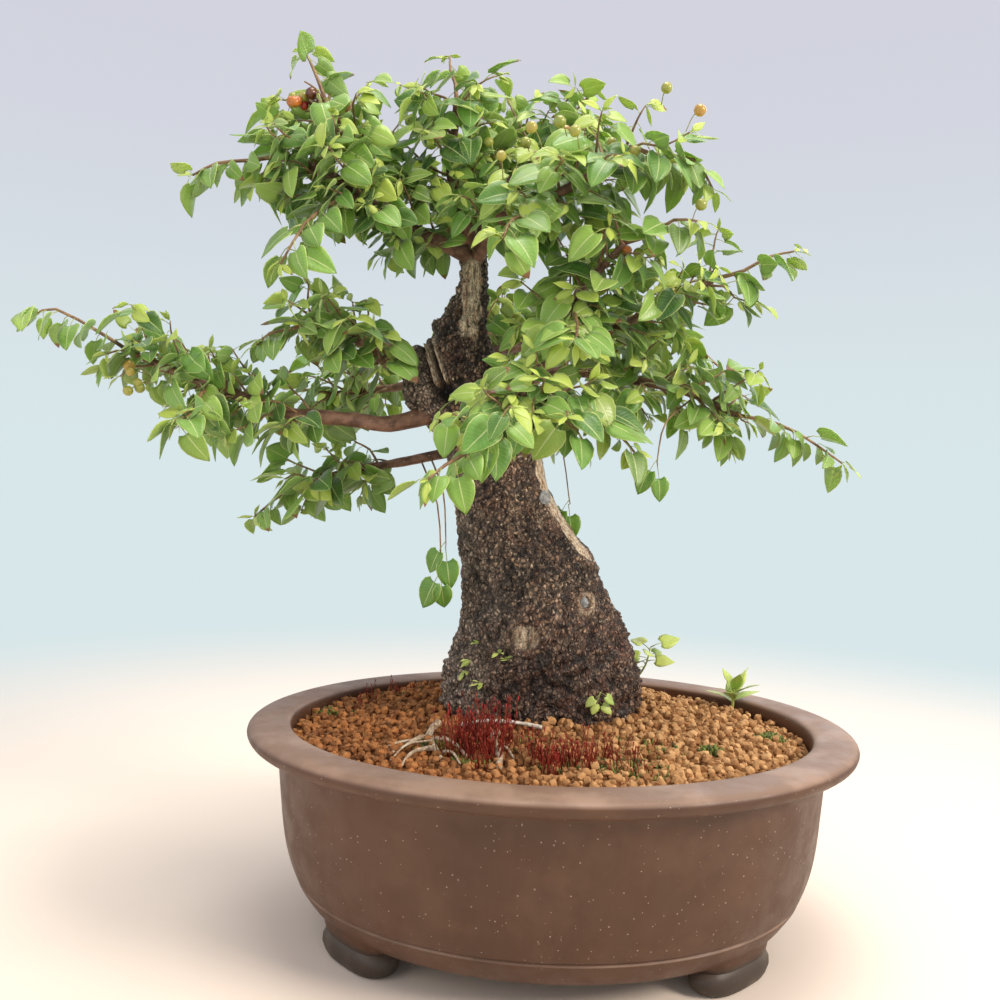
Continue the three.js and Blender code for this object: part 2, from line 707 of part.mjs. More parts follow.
function mossSolid([x, y, radius, stalks, tallest], grow = 0) {
  const mat = new THREE.SphereGeometry(1, 9, 5);
  mat.rotateX(Math.PI / 2).scale(radius + grow, radius * 0.8 + grow, 2.4 + grow);
  const middle = onSoil(x, y, 0);
  const solids = [solidOf(movedTo(mat, middle.x, middle.y, middle.z))];
  const chance = numbersFrom(stalks + radius);
  for (let i = 0; i < stalks && grow === 0; i += 1) {
    const angle = i * 2.4;
    const out = radius * 0.78 * Math.sqrt((i + 0.5) / stalks);
    const tall = tallest * (0.45 + 0.55 * chance());
    const aside = new THREE.Vector3(out * Math.cos(angle), out * 0.8 * Math.sin(angle), 0);
    const foot = middle.clone().add(aside);
    const tip = foot.clone().add(new THREE.Vector3((chance() - 0.5) * 6, (chance() - 0.5) * 6, tall));
    solids.push(solidOf(taperedTube([foot, foot.clone().lerp(tip, 0.5), tip], evenTaper(0.8, 0.5), 3, 1)));
  }
  return joined(solids);
}

// A small upright plant: a stem that stands in what carries it, with leaves round its top.
const smallPlants = {
  seedling: {
    foot: () => onSoil(148, 86, -3), rise: [2, -2, 22], leaves: 6, leaf: [23, 7], spread: 0.7,
  },
  sucker_right: {
    foot: () => onTrunk(18, 2, -4), rise: [16, -6, 32], leaves: 5, leaf: [15, 10], spread: 0.5,
  },
  sucker_front: {
    foot: () => onTrunk(16, -62, -4), rise: [8, -14, 8], leaves: 4, leaf: [13, 9], spread: 0.6,
  },
};
const stemRadii = [1.5, 1];

function stemPoints({ foot, rise }) {
  const start = foot();
  const end = start.clone().add(new THREE.Vector3(...rise));
  const bend = new THREE.Vector3(rise[0] * 0.15, rise[1] * 0.15, 0);
  return [start, start.clone().lerp(end, 0.5).add(bend), end];
}

function stemSolid(plant, grow = 0) {
  return solidOf(taperedTube(stemPoints(plant), evenTaper(...stemRadii, grow), 4, 2));
}

function smallPlantSolid(plant) {
  const points = stemPoints(plant);
  const stem = new THREE.CatmullRomCurve3(points, false, 'catmullrom', 0.5);
  const solids = [stemSolid(plant)];
  for (let i = 0; i < plant.leaves; i += 1) {
    const root = stem.getPointAt(0.98 - 0.07 * i);
    const angle = THREE.MathUtils.degToRad(leafTurn * i);
    const along = new THREE.Vector3(Math.cos(angle), Math.sin(angle), plant.spread).normalize();
    const [length, width] = plant.leaf;
    solids.push(leafSolid(leafOutline(length, width, 4, petioleWidth), leafThickness, root, along));
  }
  return joined(solids);
}

// Hanging berries on thin stalks from one point of a limb: [limb, share of its length, stalk ends].
const berryRadius = 4;
const berries = {
  berries_upper_left: ['upper_left', 0.86, [[-26, -12, 6], [-19, -16, 16], [-20, -18, -6]]],
  berries_left_low: ['left_low', 0.9, [[-18, -16, -22], [-4, -18, -27], [10, -15, -20]]],
};

function berrySolid([limb, share, ends]) {
  const root = pointOnLimb(limbs[limb], share);
  return joined(
    ends.flatMap((end) => {
      const middle = root.clone().add(new THREE.Vector3(...end));
      const stalk = taperedTube([root, root.clone().lerp(middle, 0.5), middle], () => 0.7, 3, 2);
      const fruit = new THREE.IcosahedronGeometry(berryRadius, 1);
      return [solidOf(stalk), solidOf(movedTo(fruit, middle.x, middle.y, middle.z))];
    }),
  );
}

// ---------------------------------------------------------------- assembly

place('pot', 'stoneware', potSolid());

['left', 'right'].forEach((side, i) => {
  place(`drain_screen_${side}`, 'screen', screenSolid(screenPlaces[i]));
  place(`screen_clip_${side}`, 'wire', clipSolid(screenPlaces[i]));
});

const trunk = trunkSolid();
const trunkRoom = trunkSolid(gap);
place('trunk', 'bark', trunk);

// Limbs, each cut back from the trunk and from the limbs before it.
const wood = [trunk];
const woodRoom = [trunkRoom];
Object.entries(limbs).forEach(([name, limb]) => {
  const solid = largestPiece(cutBy(limbSolid(limb), woodRoom));
  place(`limb_${name}`, 'twig', solid);
  wood.push(solid);
  woodRoom.push(limbSolid(limb, gap));
});

const seals = {
  wound_seal_upper: pasteSolid(162, -41, 6, 2.2),
  wound_seal_lower: pasteSolid(87, -50, 4.5, 2),
};
Object.entries(seals).forEach(([name, seal]) => {
  place(name, 'paste', largestPiece(cutBy(seal, [trunkRoom])));
});

// What stands or lies on the soil leaves its own hollow in it.
const screenRoom = screenPlaces.map((x) => {
  const room = new THREE.BoxGeometry(screenSize + gap * 2, screenSize + gap * 2, screenThickness + gap * 2);
  return solidOf(room.translate(x, 0, screenBase + screenThickness / 2));
});
const clipRoom = screenPlaces.map((x) => clipSolid(x, gap));
const lyingRoom = [
  stickSolid(gap),
  ...Object.values(deadRoots).map((branches) => rootSolid(branches, gap)),
  ...Object.values(mossTufts).map((tuft) => mossSolid(tuft, gap)),
  stemSolid(smallPlants.seedling, gap),
];
const soil = largestPiece(soilSolid([trunkRoom, ...screenRoom, ...clipRoom, ...lyingRoom]));
place('soil', 'soil', soil);

const littered = [];
Object.entries(deadRoots).forEach(([name, branches]) => {
  const solid = largestPiece(cutBy(rootSolid(branches), [trunkRoom]));
  place(name, 'deadwood', solid);
  littered.push(rootSolid(branches, gap));
});
const stick = largestPiece(cutBy(stickSolid(), [trunkRoom, ...littered]));
place('dry_stick', 'deadwood', stick);
littered.push(stickSolid(gap));
Object.entries(mossTufts).forEach(([name, tuft]) => {
  place(name, 'moss', largestPiece(cutBy(mossSolid(tuft), [trunkRoom, ...littered])));
});

const grown = [];
Object.entries(smallPlants).forEach(([name, plant]) => {
  const solid = largestPiece(cutBy(smallPlantSolid(plant), [trunkRoom]));
  place(name, 'youngLeaf', solid);
  grown.push(solid);
});
Object.entries(berries).forEach(([name, cluster]) => {
  const solid = largestPiece(cutBy(berrySolid(cluster), woodRoom));
  place(name, 'berry', solid);
  grown.push(solid);
});

// All twigs first, so that each leaf finds its room between them.
const shootList = Object.entries(shoots).map(([name, shoot], i) => {
  const twigs = twigsOf(shoot);
  const solid = largestPiece(cutBy(joined(twigs.map(twigSolid)), woodRoom));
  return { name, shoot, twigs, solid, seed: i + 1 };
});
shootList.forEach((entry) => {
  const others = shootList.filter((other) => other !== entry).map((other) => other.solid);
  const leaves = leavesOf(entry.twigs, entry.shoot.leaves, [...wood, ...grown, ...others], entry.seed);
  entry.solid = largestPiece(cutBy(joined([entry.solid, ...leaves]), woodRoom));
  place(`shoot_${entry.name}`, 'leaf', entry.solid);
});

// The middle of the whole object's base is the origin.
const whole = new THREE.Box3().setFromObject(group);
const middle = whole.getCenter(new THREE.Vector3());
group.position.set(-middle.x, -middle.y, -whole.min.z);

export default group;
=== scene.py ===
import json
import math
import random

import bmesh
import bpy
from mathutils import Matrix, Vector, noise
from mathutils.bvhtree import BVHTree

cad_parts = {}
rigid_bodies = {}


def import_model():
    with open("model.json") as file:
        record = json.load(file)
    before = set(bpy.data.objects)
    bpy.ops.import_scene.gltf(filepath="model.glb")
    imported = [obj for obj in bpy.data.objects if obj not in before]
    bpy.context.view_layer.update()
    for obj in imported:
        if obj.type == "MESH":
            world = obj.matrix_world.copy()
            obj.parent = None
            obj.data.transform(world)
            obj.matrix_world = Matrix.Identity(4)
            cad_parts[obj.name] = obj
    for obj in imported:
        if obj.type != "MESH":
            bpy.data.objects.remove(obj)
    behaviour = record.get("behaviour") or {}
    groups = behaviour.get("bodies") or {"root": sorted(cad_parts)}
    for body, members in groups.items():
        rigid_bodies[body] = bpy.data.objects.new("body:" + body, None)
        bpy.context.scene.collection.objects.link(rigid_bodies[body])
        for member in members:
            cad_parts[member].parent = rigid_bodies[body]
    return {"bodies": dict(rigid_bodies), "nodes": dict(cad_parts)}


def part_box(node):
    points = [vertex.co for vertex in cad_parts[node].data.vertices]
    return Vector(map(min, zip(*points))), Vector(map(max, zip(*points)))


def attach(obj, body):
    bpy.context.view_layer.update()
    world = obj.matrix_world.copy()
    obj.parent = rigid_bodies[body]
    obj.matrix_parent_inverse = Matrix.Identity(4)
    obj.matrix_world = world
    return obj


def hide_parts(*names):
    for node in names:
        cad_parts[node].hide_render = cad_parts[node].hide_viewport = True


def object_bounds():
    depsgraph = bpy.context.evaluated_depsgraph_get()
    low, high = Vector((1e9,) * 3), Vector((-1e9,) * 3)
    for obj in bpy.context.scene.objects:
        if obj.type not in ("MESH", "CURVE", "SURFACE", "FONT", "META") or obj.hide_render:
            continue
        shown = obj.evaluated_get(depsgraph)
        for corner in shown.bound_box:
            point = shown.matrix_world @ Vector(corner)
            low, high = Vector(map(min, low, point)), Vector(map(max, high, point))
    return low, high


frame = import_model()
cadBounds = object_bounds()
body = next(iter(frame["bodies"]))
up = Vector((0, 0, 1))
mm = 0.001

potLow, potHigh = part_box("pot")
potMiddle = Vector(((potLow.x + potHigh.x) / 2, (potLow.y + potHigh.y) / 2, 0))
rimHeight = potHigh.z
print("frame loaded:", len(frame["nodes"]), "nodes")


# A point in millimetres from the middle of the rim's plane, as metres in the frame.
def fromRim(x, y, height):
    return potMiddle + Vector((x * mm, y * mm, rimHeight + height * mm))


# The other way round: a place in the frame as millimetres from the middle of the rim's plane.
def toRim(place):
    return (place - potMiddle - up * rimHeight) / mm


def newObject(name, mesh):
    made = bpy.data.objects.new(name, mesh)
    bpy.context.scene.collection.objects.link(made)
    return made


def toMesh(build, name):
    mesh = bpy.data.meshes.new(name)
    build.to_mesh(mesh)
    build.free()
    return mesh


# Turns Z to a direction.
def aimed(direction):
    return direction.to_track_quat("Z", "Y").to_matrix().to_4x4()


# Camera, floor and light

studioValues = {
    "cameraPlace": (0, -0.680, 0.324),  # from the middle of the pot's base
    "cameraTurn": 0.058,
    "cameraTilt": -0.019,
    "cameraRoll": 0.023,
    "lens": 33.05,
    "sky": ("d2d3de", "d8e7ea"),  # overhead, and at the horizon
    "skyStrength": 1.0,
    "floor": ("f0e1d0", "d8e7ea"),  # near the pot, and far away
    "floorFade": (0.35, 1.5),
}


def colour(code):
    parts = [int(code[i:i + 2], 16) / 255 for i in (0, 2, 4)]
    return (*[part / 12.92 if part <= 0.04045 else ((part + 0.055) / 1.055) ** 2.4 for part in parts], 1)


# Adds nodes to one tree. In a material, place is the spot on the object and tone is its colour so far.
class Look:
    def __init__(self, tree, place=None):
        self.tree = tree
        self.place = place
        self.tone = None

    # a node with its settings made, then its sockets filled: a socket is linked, anything else is its value
    def add(self, kind, sockets=None, **settings):
        node = self.tree.nodes.new(kind)
        for key, value in settings.items():
            setattr(node, key, value)
        for key, value in (sockets or {}).items():
            if isinstance(value, bpy.types.NodeSocket):
                self.tree.links.new(value, node.inputs[key])
            else:
                node.inputs[key].default_value = colour(value) if isinstance(value, str) else value
        return node.outputs

    def mix(self, share, first, second):
        return self.add("ShaderNodeMix", {0: share, 6: first, 7: second}, data_type="RGBA")[2]

    def calc(self, operation, first, second=0.0):
        return self.add("ShaderNodeMath", {0: first, 1: second}, operation=operation)[0]

    def times(self, first, second):
        return self.calc("MULTIPLY", first, second)

    # lays another colour over the tone, by a mask and how much of it counts
    def lay(self, mask, over, share=None):
        self.tone = self.mix(mask if share is None else self.times(mask, share), self.tone, over)

    # remaps a value from low..high to 0..1, or to the given ends
    def fit(self, value, low, high, toLow=0.0, toHigh=1.0):
        sockets = {"Value": value, "From Min": low, "From Max": high, "To Min": toLow, "To Max": toHigh}
        return self.add("ShaderNodeMapRange", sockets, interpolation_type="SMOOTHSTEP")[0]

    # a fine noise as a roughness
    def rough(self, fine, low, high):
        return self.fit(fine, 0.3, 0.7, low, high)

    def part(self, vector, axis):
        return self.add("ShaderNodeSeparateXYZ", {0: vector})[axis]

    def layer(self, name):
        return self.add("ShaderNodeAttribute", attribute_name=name)["Fac"]

    def noise(self, scale, detail=4.0, roughness=0.55, distortion=0.0):
        sockets = {"Vector": self.place, "Scale": scale, "Detail": detail, "Roughness": roughness}
        return self.add("ShaderNodeTexNoise", {**sockets, "Distortion": distortion})[0]

    # one of the shared effects below, with its numbers in their order
    def use(self, group, *numbers):
        sockets = {key + 1: value for key, value in enumerate(numbers)}
        return self.add("ShaderNodeGroup", {0: self.place, **sockets}, node_tree=group)[0]

    # joins the tone, a roughness and the surface reliefs to the shader
    def finish(self, roughness, *reliefs):
        self.tree.links.new(self.tone, self.shader.inputs["Base Color"])
        if roughness is not None:
            self.tree.links.new(roughness, self.shader.inputs["Roughness"])
        below = {}
        for height, strength, distance in reliefs:
            sockets = {"Height": height, "Strength": strength, "Distance": distance, **below}
            below = {"Normal": self.add("ShaderNodeBump", sockets)[0]}
        self.tree.links.new(below["Normal"], self.shader.inputs["Normal"])
        return self.material


def newLook(name, roughness, **plain):
    material = bpy.data.materials.new(name)
    material.use_nodes = True
    look = Look(material.node_tree)
    look.material = material
    look.shader = look.tree.nodes["Principled BSDF"]
    look.place = look.add("ShaderNodeTexCoord")["Object"]
    for key, value in {"Roughness": roughness, **plain}.items():
        look.shader.inputs[key.replace("_", " ")].default_value = value
    return look


camera = newObject("camera", bpy.data.cameras.new("camera"))
camera.data.lens = studioValues["lens"]
camera.data.clip_start = 0.01
turn = Matrix.Rotation(studioValues["cameraTurn"], 4, "Z")
tilt = Matrix.Rotation(math.pi / 2 + studioValues["cameraTilt"], 4, "X")
roll = Matrix.Rotation(studioValues["cameraRoll"], 4, "Z")
cameraPlace = potMiddle + Vector(studioValues["cameraPlace"])
camera.matrix_world = Matrix.Translation(cameraPlace) @ turn @ tilt @ roll
bpy.context.scene.camera = camera
bpy.context.scene.view_settings.view_transform = "Standard"

lampValues = {
    # name: place from the pot's middle, width, power, colour
    "keyLamp": ((1.8, -0.95, 1.35), 0.8, 45, "fff3e6"),
    "fillLamp": ((-1.5, -1.3, 0.9), 1.6, 8, "fff6ee"),
    "topLamp": ((0.1, -0.1, 2.3), 1.3, 30, "fffaf2"),
    "backLamp": ((0.9, 1.7, 1.3), 1.4, 7, "eef6ff"),
}
lampTarget = potMiddle + up * 0.28
for lampName, (place, width, power, tone) in lampValues.items():
    light = bpy.data.lights.new(lampName, "AREA")
    light.shape = "DISK"
    light.size = width
    light.energy = power
    light.color = colour(tone)[:3]
    lamp = newObject(lampName, light)
    lampPlace = potMiddle + Vector(place)
    lamp.matrix_world = Matrix.Translation(lampPlace) @ aimed(lampPlace - lampTarget)

world = bpy.data.worlds.new("studio")
world.use_nodes = True
bpy.context.scene.world = world
sky = Look(world.node_tree)
skyHeight = sky.part(sky.add("ShaderNodeTexCoord")["Generated"], "Z")
skyOver, skyLow = studioValues["sky"]
skyNode = sky.tree.nodes["Background"]
sky.tree.links.new(sky.mix(sky.fit(skyHeight, 0.0, 0.45), skyLow, skyOver), skyNode.inputs["Color"])
skyNode.inputs["Strength"].default_value = studioValues["skyStrength"]

floorBuild = bmesh.new()
bmesh.ops.create_circle(
    floorBuild, cap_ends=True, segments=64, radius=9.0, matrix=Matrix.Translation(potMiddle - up * 0.0006)
)
floor = newObject("floor", toMesh(floorBuild, "floor"))
paper = newLook("paleFloor", 1.0, Specular_IOR_Level=0.0, Emission_Strength=studioValues["skyStrength"])
floorAway = paper.add("ShaderNodeVectorMath", {0: paper.place}, operation="LENGTH")["Value"]
floorShare = paper.fit(floorAway, *studioValues["floorFade"])
floorNear, floorFar = studioValues["floor"]
paper.tone = paper.mix(floorShare, floorNear, "000000")
paper.tree.links.new(paper.mix(floorShare, "000000", floorFar), paper.shader.inputs["Emission Color"])
floor.data.materials.append(paper.finish(None, (paper.noise(900), 0.05, 0.001)))
print("camera, lamps and floor made")


# Effects that several materials share


# A group on a place and some numbers; build(look, entry) returns its one output.
def makeGroup(name, numbers, build):
    group = bpy.data.node_groups.new(name, "ShaderNodeTree")
    group.interface.new_socket("Place", in_out="INPUT", socket_type="NodeSocketVector")
    for key in numbers:
        group.interface.new_socket(key, in_out="INPUT", socket_type="NodeSocketFloat")
    group.interface.new_socket("Mask", in_out="OUTPUT", socket_type="NodeSocketFloat")
    entry = group.nodes.new("NodeGroupInput").outputs
    leave = group.nodes.new("NodeGroupOutput")
    group.links.new(build(Look(group, entry["Place"]), entry), leave.inputs[0])
    return group


# Small separate flecks: near the middles of some of the cells of a cell pattern.
def buildFlecks(look, entry):
    sockets = {"Vector": look.place, "Scale": entry["Scale"], "Randomness": 1.0}
    cells = look.add("ShaderNodeTexVoronoi", sockets)
    chance = look.add("ShaderNodeSeparateColor", {0: cells["Color"]})
    reach = look.times(chance[1], entry["Size"])
    close = look.calc("LESS_THAN", cells["Distance"], reach)
    return look.times(look.calc("LESS_THAN", chance[0], entry["Share"]), close)


# Broad soft patches of another tone.
def buildPatches(look, entry):
    return look.fit(look.noise(entry["Scale"], 3.0, 0.6), entry["Low"], entry["High"])


# Fine fibres drawn out along the height.
def buildFibres(look, entry):
    look.place = look.add("ShaderNodeMapping", {"Vector": look.place, "Scale": (1, 1, 0.12)})[0]
    return look.noise(entry["Scale"], 5.0, 0.65, 0.4)


flecks = makeGroup("flecks", ("Scale", "Share", "Size"), buildFlecks)
patches = makeGroup("patches", ("Scale", "Low", "High"), buildPatches)
fibres = makeGroup("fibres", ("Scale",), buildFibres)

# Shaping helpers


def newBuild(*layers):
    build = bmesh.new()
    for name in layers:
        build.verts.layers.float.new(name)
    return build


# Sets values in the named layers of some corners.
def setLayers(build, verts, **values):
    for name, value in values.items():
        layer = build.verts.layers.float[name]
        for vert in verts:
            vert[layer] = value


def faceOut(build):
    bmesh.ops.recalc_face_normals(build, faces=build.faces)


# Makes the build an object, with its material and its body, and hides the nodes it stands for.
def finishPiece(build, name, material, replaced=(), smooth=True, creases=None):
    return dressPiece(newObject(name, toMesh(build, name)), material, replaced, smooth, creases)


def dressPiece(piece, material, replaced=(), smooth=True, creases=None):
    piece.data.materials.append(material)
    piece.data.polygons.foreach_set("use_smooth", [smooth] * len(piece.data.polygons))
    if creases is not None:
        piece.data.set_sharp_from_angle(angle=math.radians(creases))
    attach(piece, body)
    if replaced:
        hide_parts(*replaced)
    return piece


# A node's triangles as a build whose shared corners are merged.
def mergedCopy(node):
    build = bmesh.new()
    build.from_mesh(frame["nodes"][node].data)
    bmesh.ops.remove_doubles(build, verts=build.verts, dist=0.01 * mm)
    return build


def treeOf(node):
    build = mergedCopy(node)
    tree = BVHTree.FromBMesh(build)
    build.free()
    return tree


# Runs the modifiers of an object into its mesh.
def settle(piece):
    graph = bpy.context.evaluated_depsgraph_get()
    settled = bpy.data.meshes.new_from_object(piece.evaluated_get(graph))
    piece.modifiers.clear()
    old = piece.data
    piece.data = settled
    bpy.data.meshes.remove(old)
    return piece


def smoothPath(points, perSpan):
    ends = [2 * points[0] - points[1]] + list(points) + [2 * points[-1] - points[-2]]
    path = []
    for before, start, end, after in zip(ends, ends[1:], ends[2:], ends[3:]):
        for step in range(perSpan):
            t = step / perSpan
            bend = (2 * before - 5 * start + 4 * end - after) * t * t
            swing = (3 * start - before - 3 * end + after) * t ** 3
            path.append(0.5 * (2 * start + (end - before) * t + bend + swing))
    return path + [points[-1]]


# A closed tube through the points: each ring is extruded from the one before it.
def growTube(build, path, radii, sides):
    heading = (path[1] - path[0]).normalized()
    start = Matrix.Translation(path[0]) @ aimed(heading)
    ring = bmesh.ops.create_circle(build, segments=sides, radius=radii[0], matrix=start)["verts"]
    edges = list({edge for vert in ring for edge in vert.link_edges})
    ends = [edges]
    made = list(ring)
    for i in range(1, len(path)):
        ahead = (path[min(i + 1, len(path) - 1)] - path[i - 1]).normalized()
        swing = heading.rotation_difference(ahead).to_matrix().to_4x4()
        grown = bmesh.ops.extrude_edge_only(build, edges=edges)["geom"]
        ring = [part for part in grown if isinstance(part, bmesh.types.BMVert)]
        ringSet = set(ring)
        lines = [part for part in grown if isinstance(part, bmesh.types.BMEdge)]
        edges = [line for line in lines if line.verts[0] in ringSet and line.verts[1] in ringSet]
        shrink = Matrix.Scale(radii[i] / radii[i - 1], 4)
        move = Matrix.Translation(path[i]) @ swing @ shrink @ Matrix.Translation(-path[i - 1])
        bmesh.ops.transform(build, matrix=move, verts=ring)
        heading = ahead
        made += ring
    ends.append(edges)
    for end in ends:
        bmesh.ops.contextual_create(build, geom=end)
    return made


# Adds one more copy of a small mesh, with its own values in the named layers.
def addCopy(build, mesh, matrix, **values):
    before = len(build.verts)
    build.from_mesh(mesh)
    build.verts.ensure_lookup_table()
    fresh = build.verts[before:]
    bmesh.ops.transform(build, matrix=matrix, verts=fresh)
    setLayers(build, fresh, **values)


def boxMiddle(node):
    low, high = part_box(node)
    return low, high, (low + high) / 2


# A sideways draw up to the spread, at a set height.
def strewn(dice, spread, z):
    return Vector((dice.uniform(-spread, spread), dice.uniform(-spread, spread), z))


# A hump one high that falls away over the width.
def ridge(away, width):
    return math.exp(-(away / width) ** 2)


def eased(value, low, high):
    share = min(1.0, max(0.0, (value - low) / (high - low)))
    return share * share * (3 - 2 * share)


# Pot

potValues = {
    # how far in from the rim's edge, and how high, in millimetres, from the underside's middle to the floor's
    "underside": [(70, 20), (56, 20)],
    "body": [
        (51.5, 20.2), (47.5, 23), (43.5, 28.2), (39.5, 34.5), (37.4, 37.8), (37.2, 38.6), (38.8, 39.3),
        (38.7, 40.3), (36.2, 41.2), (35.6, 42.6), (34.2, 46), (31.4, 53.5), (28.6, 64), (26.4, 77), (25, 93),
        (23.5, 110), (22.4, 124), (22, 131.5),
    ],
    "rim": [
        (21.2, 134.6), (18, 136), (11, 136.6), (5.5, 137.7), (2, 140.1), (0.2, 143.4), (0.5, 146.3),
        (2.6, 148.6), (7, 149.7), (16, 150), (26, 149.9), (29.6, 149.2), (31, 147.2),
    ],
    "inside": [(31.4, 143), (32, 128), (34.2, 94), (38.6, 66), (46, 45), (54, 36), (62, 32.2), (80, 32)],
    "steps": 144,
    "footAngle": 41,
    "footInset": 60.3,
    "footHalf": (36, 16),
    # a foot's height and width, step by step
    "footBelly": [
        (0.0, 0.80), (0.8, 0.86), (3, 0.93), (7, 1.0), (11, 0.99), (14, 0.93), (15.5, 0.86), (16.6, 0.9),
        (26, 1.0),
    ],
    "holeRadius": 14,
    "holeSpacing": 150,
}
potHalfLength = (potHigh.x - potLow.x) / 2 / mm
potHalfDepth = (potHigh.y - potLow.y) / 2 / mm


def ovalPoint(inset, angle):
    outward = Vector((math.cos(angle) / potHalfLength, math.sin(angle) / potHalfDepth)).normalized()
    x = potHalfLength * math.cos(angle) - inset * outward.x
    y = potHalfDepth * math.sin(angle) - inset * outward.y
    return Vector((x, y))


def buildPot():
    profile = potValues["underside"] + potValues["body"] + potValues["rim"] + potValues["inside"]
    deepest = max(inset for inset, _ in profile)
    build = bmesh.new()
    corners = [build.verts.new((potHalfDepth - inset, 0, height)) for inset, height in profile]
    corners.insert(0, build.verts.new((0, 0, profile[0][1])))
    corners.append(build.verts.new((0, 0, profile[-1][1])))
    for first, second in zip(corners, corners[1:]):
        build.edges.new((first, second))
    bmesh.ops.spin(
        build, geom=build.verts[:] + build.edges[:], cent=(0, 0, 0), axis=(0, 0, 1), angle=math.tau,
        steps=potValues["steps"], use_merge=True, use_duplicate=False,
    )
    bmesh.ops.remove_doubles(build, verts=build.verts, dist=0.001)
    # the round form is drawn out to the oval, its walls kept as thick all round
    for vert in build.verts:
        radius = math.hypot(vert.co.x, vert.co.y)
        angle = math.atan2(vert.co.y, vert.co.x)
        inset = min(potHalfDepth - radius, deepest)
        share = min(1, radius / (potHalfDepth - deepest))
        spot = ovalPoint(inset, angle) * share
        waver = noise.noise(Vector((math.cos(angle) * 2.2, math.sin(angle) * 2.2, vert.co.z / 60))) * 0.35
        vert.co = Vector((spot.x * (1 + waver / 400), spot.y * (1 + waver / 400), vert.co.z))
    faceOut(build)
    return build


# A foot: a lobed outline raised in steps, with a rounded belly under a small ledge.
def addFoot(build, angle):
    belly = potValues["footBelly"]
    halfLong, halfDeep = potValues["footHalf"]
    spot = ovalPoint(potValues["footInset"], angle)
    facing = math.atan2(math.sin(angle) / potHalfDepth, math.cos(angle) / potHalfLength)
    ring = bmesh.ops.create_circle(build, cap_ends=True, segments=40, radius=1)["verts"]
    for vert in ring:
        around = math.atan2(vert.co.y, vert.co.x)
        long = math.cos(around)
        deep = math.sin(around)
        lobes = 1 + 0.16 * math.cos(2 * around) * (deep > 0)
        x = halfLong * math.copysign(abs(long) ** 0.75, long)
        vert.co = Vector((x, halfDeep * deep * lobes - 4 * long * long, 0))
    face = next(iter(ring[0].link_faces))
    made = list(ring)
    bmesh.ops.scale(build, vec=(belly[0][1], belly[0][1], 1), verts=ring)
    at = belly[0]
    for height, width in belly[1:]:
        grown = bmesh.ops.extrude_face_region(build, geom=[face])["geom"]
        ring = [part for part in grown if isinstance(part, bmesh.types.BMVert)]
        oldFace = face
        face = next(part for part in grown if isinstance(part, bmesh.types.BMFace))
        if oldFace.is_valid and at != belly[0]:
            bmesh.ops.delete(build, geom=[oldFace], context="FACES_ONLY")
        bmesh.ops.translate(build, vec=(0, 0, height - at[0]), verts=ring)
        bmesh.ops.scale(build, vec=(width / at[1], width / at[1], 1), verts=ring)
        at = (height, width)
        made += ring
    place = Matrix.Translation((spot.x, spot.y, 0)) @ Matrix.Rotation(facing - math.pi / 2, 4, "Z")
    bmesh.ops.transform(build, matrix=place, verts=made)


def makeStoneware():
    look = newLook("unglazedStoneware", 0.5, Specular_IOR_Level=0.42)
    cloudy = look.use(patches, 22.0, 0.42, 0.7)
    look.tone = look.mix(look.use(patches, 5.0, 0.35, 0.68), "593926", "4a301f")
    look.lay(cloudy, "6b4c36", 0.35)
    look.lay(look.fit(look.use(fibres, 40.0), 0.5, 0.85, 0, 0.25), "6b4e3a")
    look.lay(look.use(flecks, 380.0, 0.08, 0.3), "33231d", 0.55)
    look.lay(look.use(flecks, 380.0, 0.08, 0.26), "b5a090", 0.38)
    look.lay(look.use(flecks, 620.0, 0.06, 0.34), "c0ac9c", 0.5)
    # painted light: surfaces that look up are laid lighter, in patches, as a painted highlight on the rim and
    # other tops; the feet are laid darker and greyer
    lift = look.part(look.add("ShaderNodeNewGeometry")["Normal"], "Z")
    look.lay(look.times(look.fit(lift, 0.2, 0.9), look.fit(cloudy, 0, 1, 0.5, 0.8)), "a58873")
    feet = look.fit(look.part(look.place, "Z"), 0.016, 0.021, 0.75, 0.0)
    look.lay(feet, look.mix(cloudy, "33302a", "5a5448"))
    roughness = look.rough(look.noise(60, 4), 0.4, 0.58)
    return look.finish(roughness, (look.noise(260, 5), 0.18, 0.0006), (look.noise(1500, 6), 0.22, 0.0003))


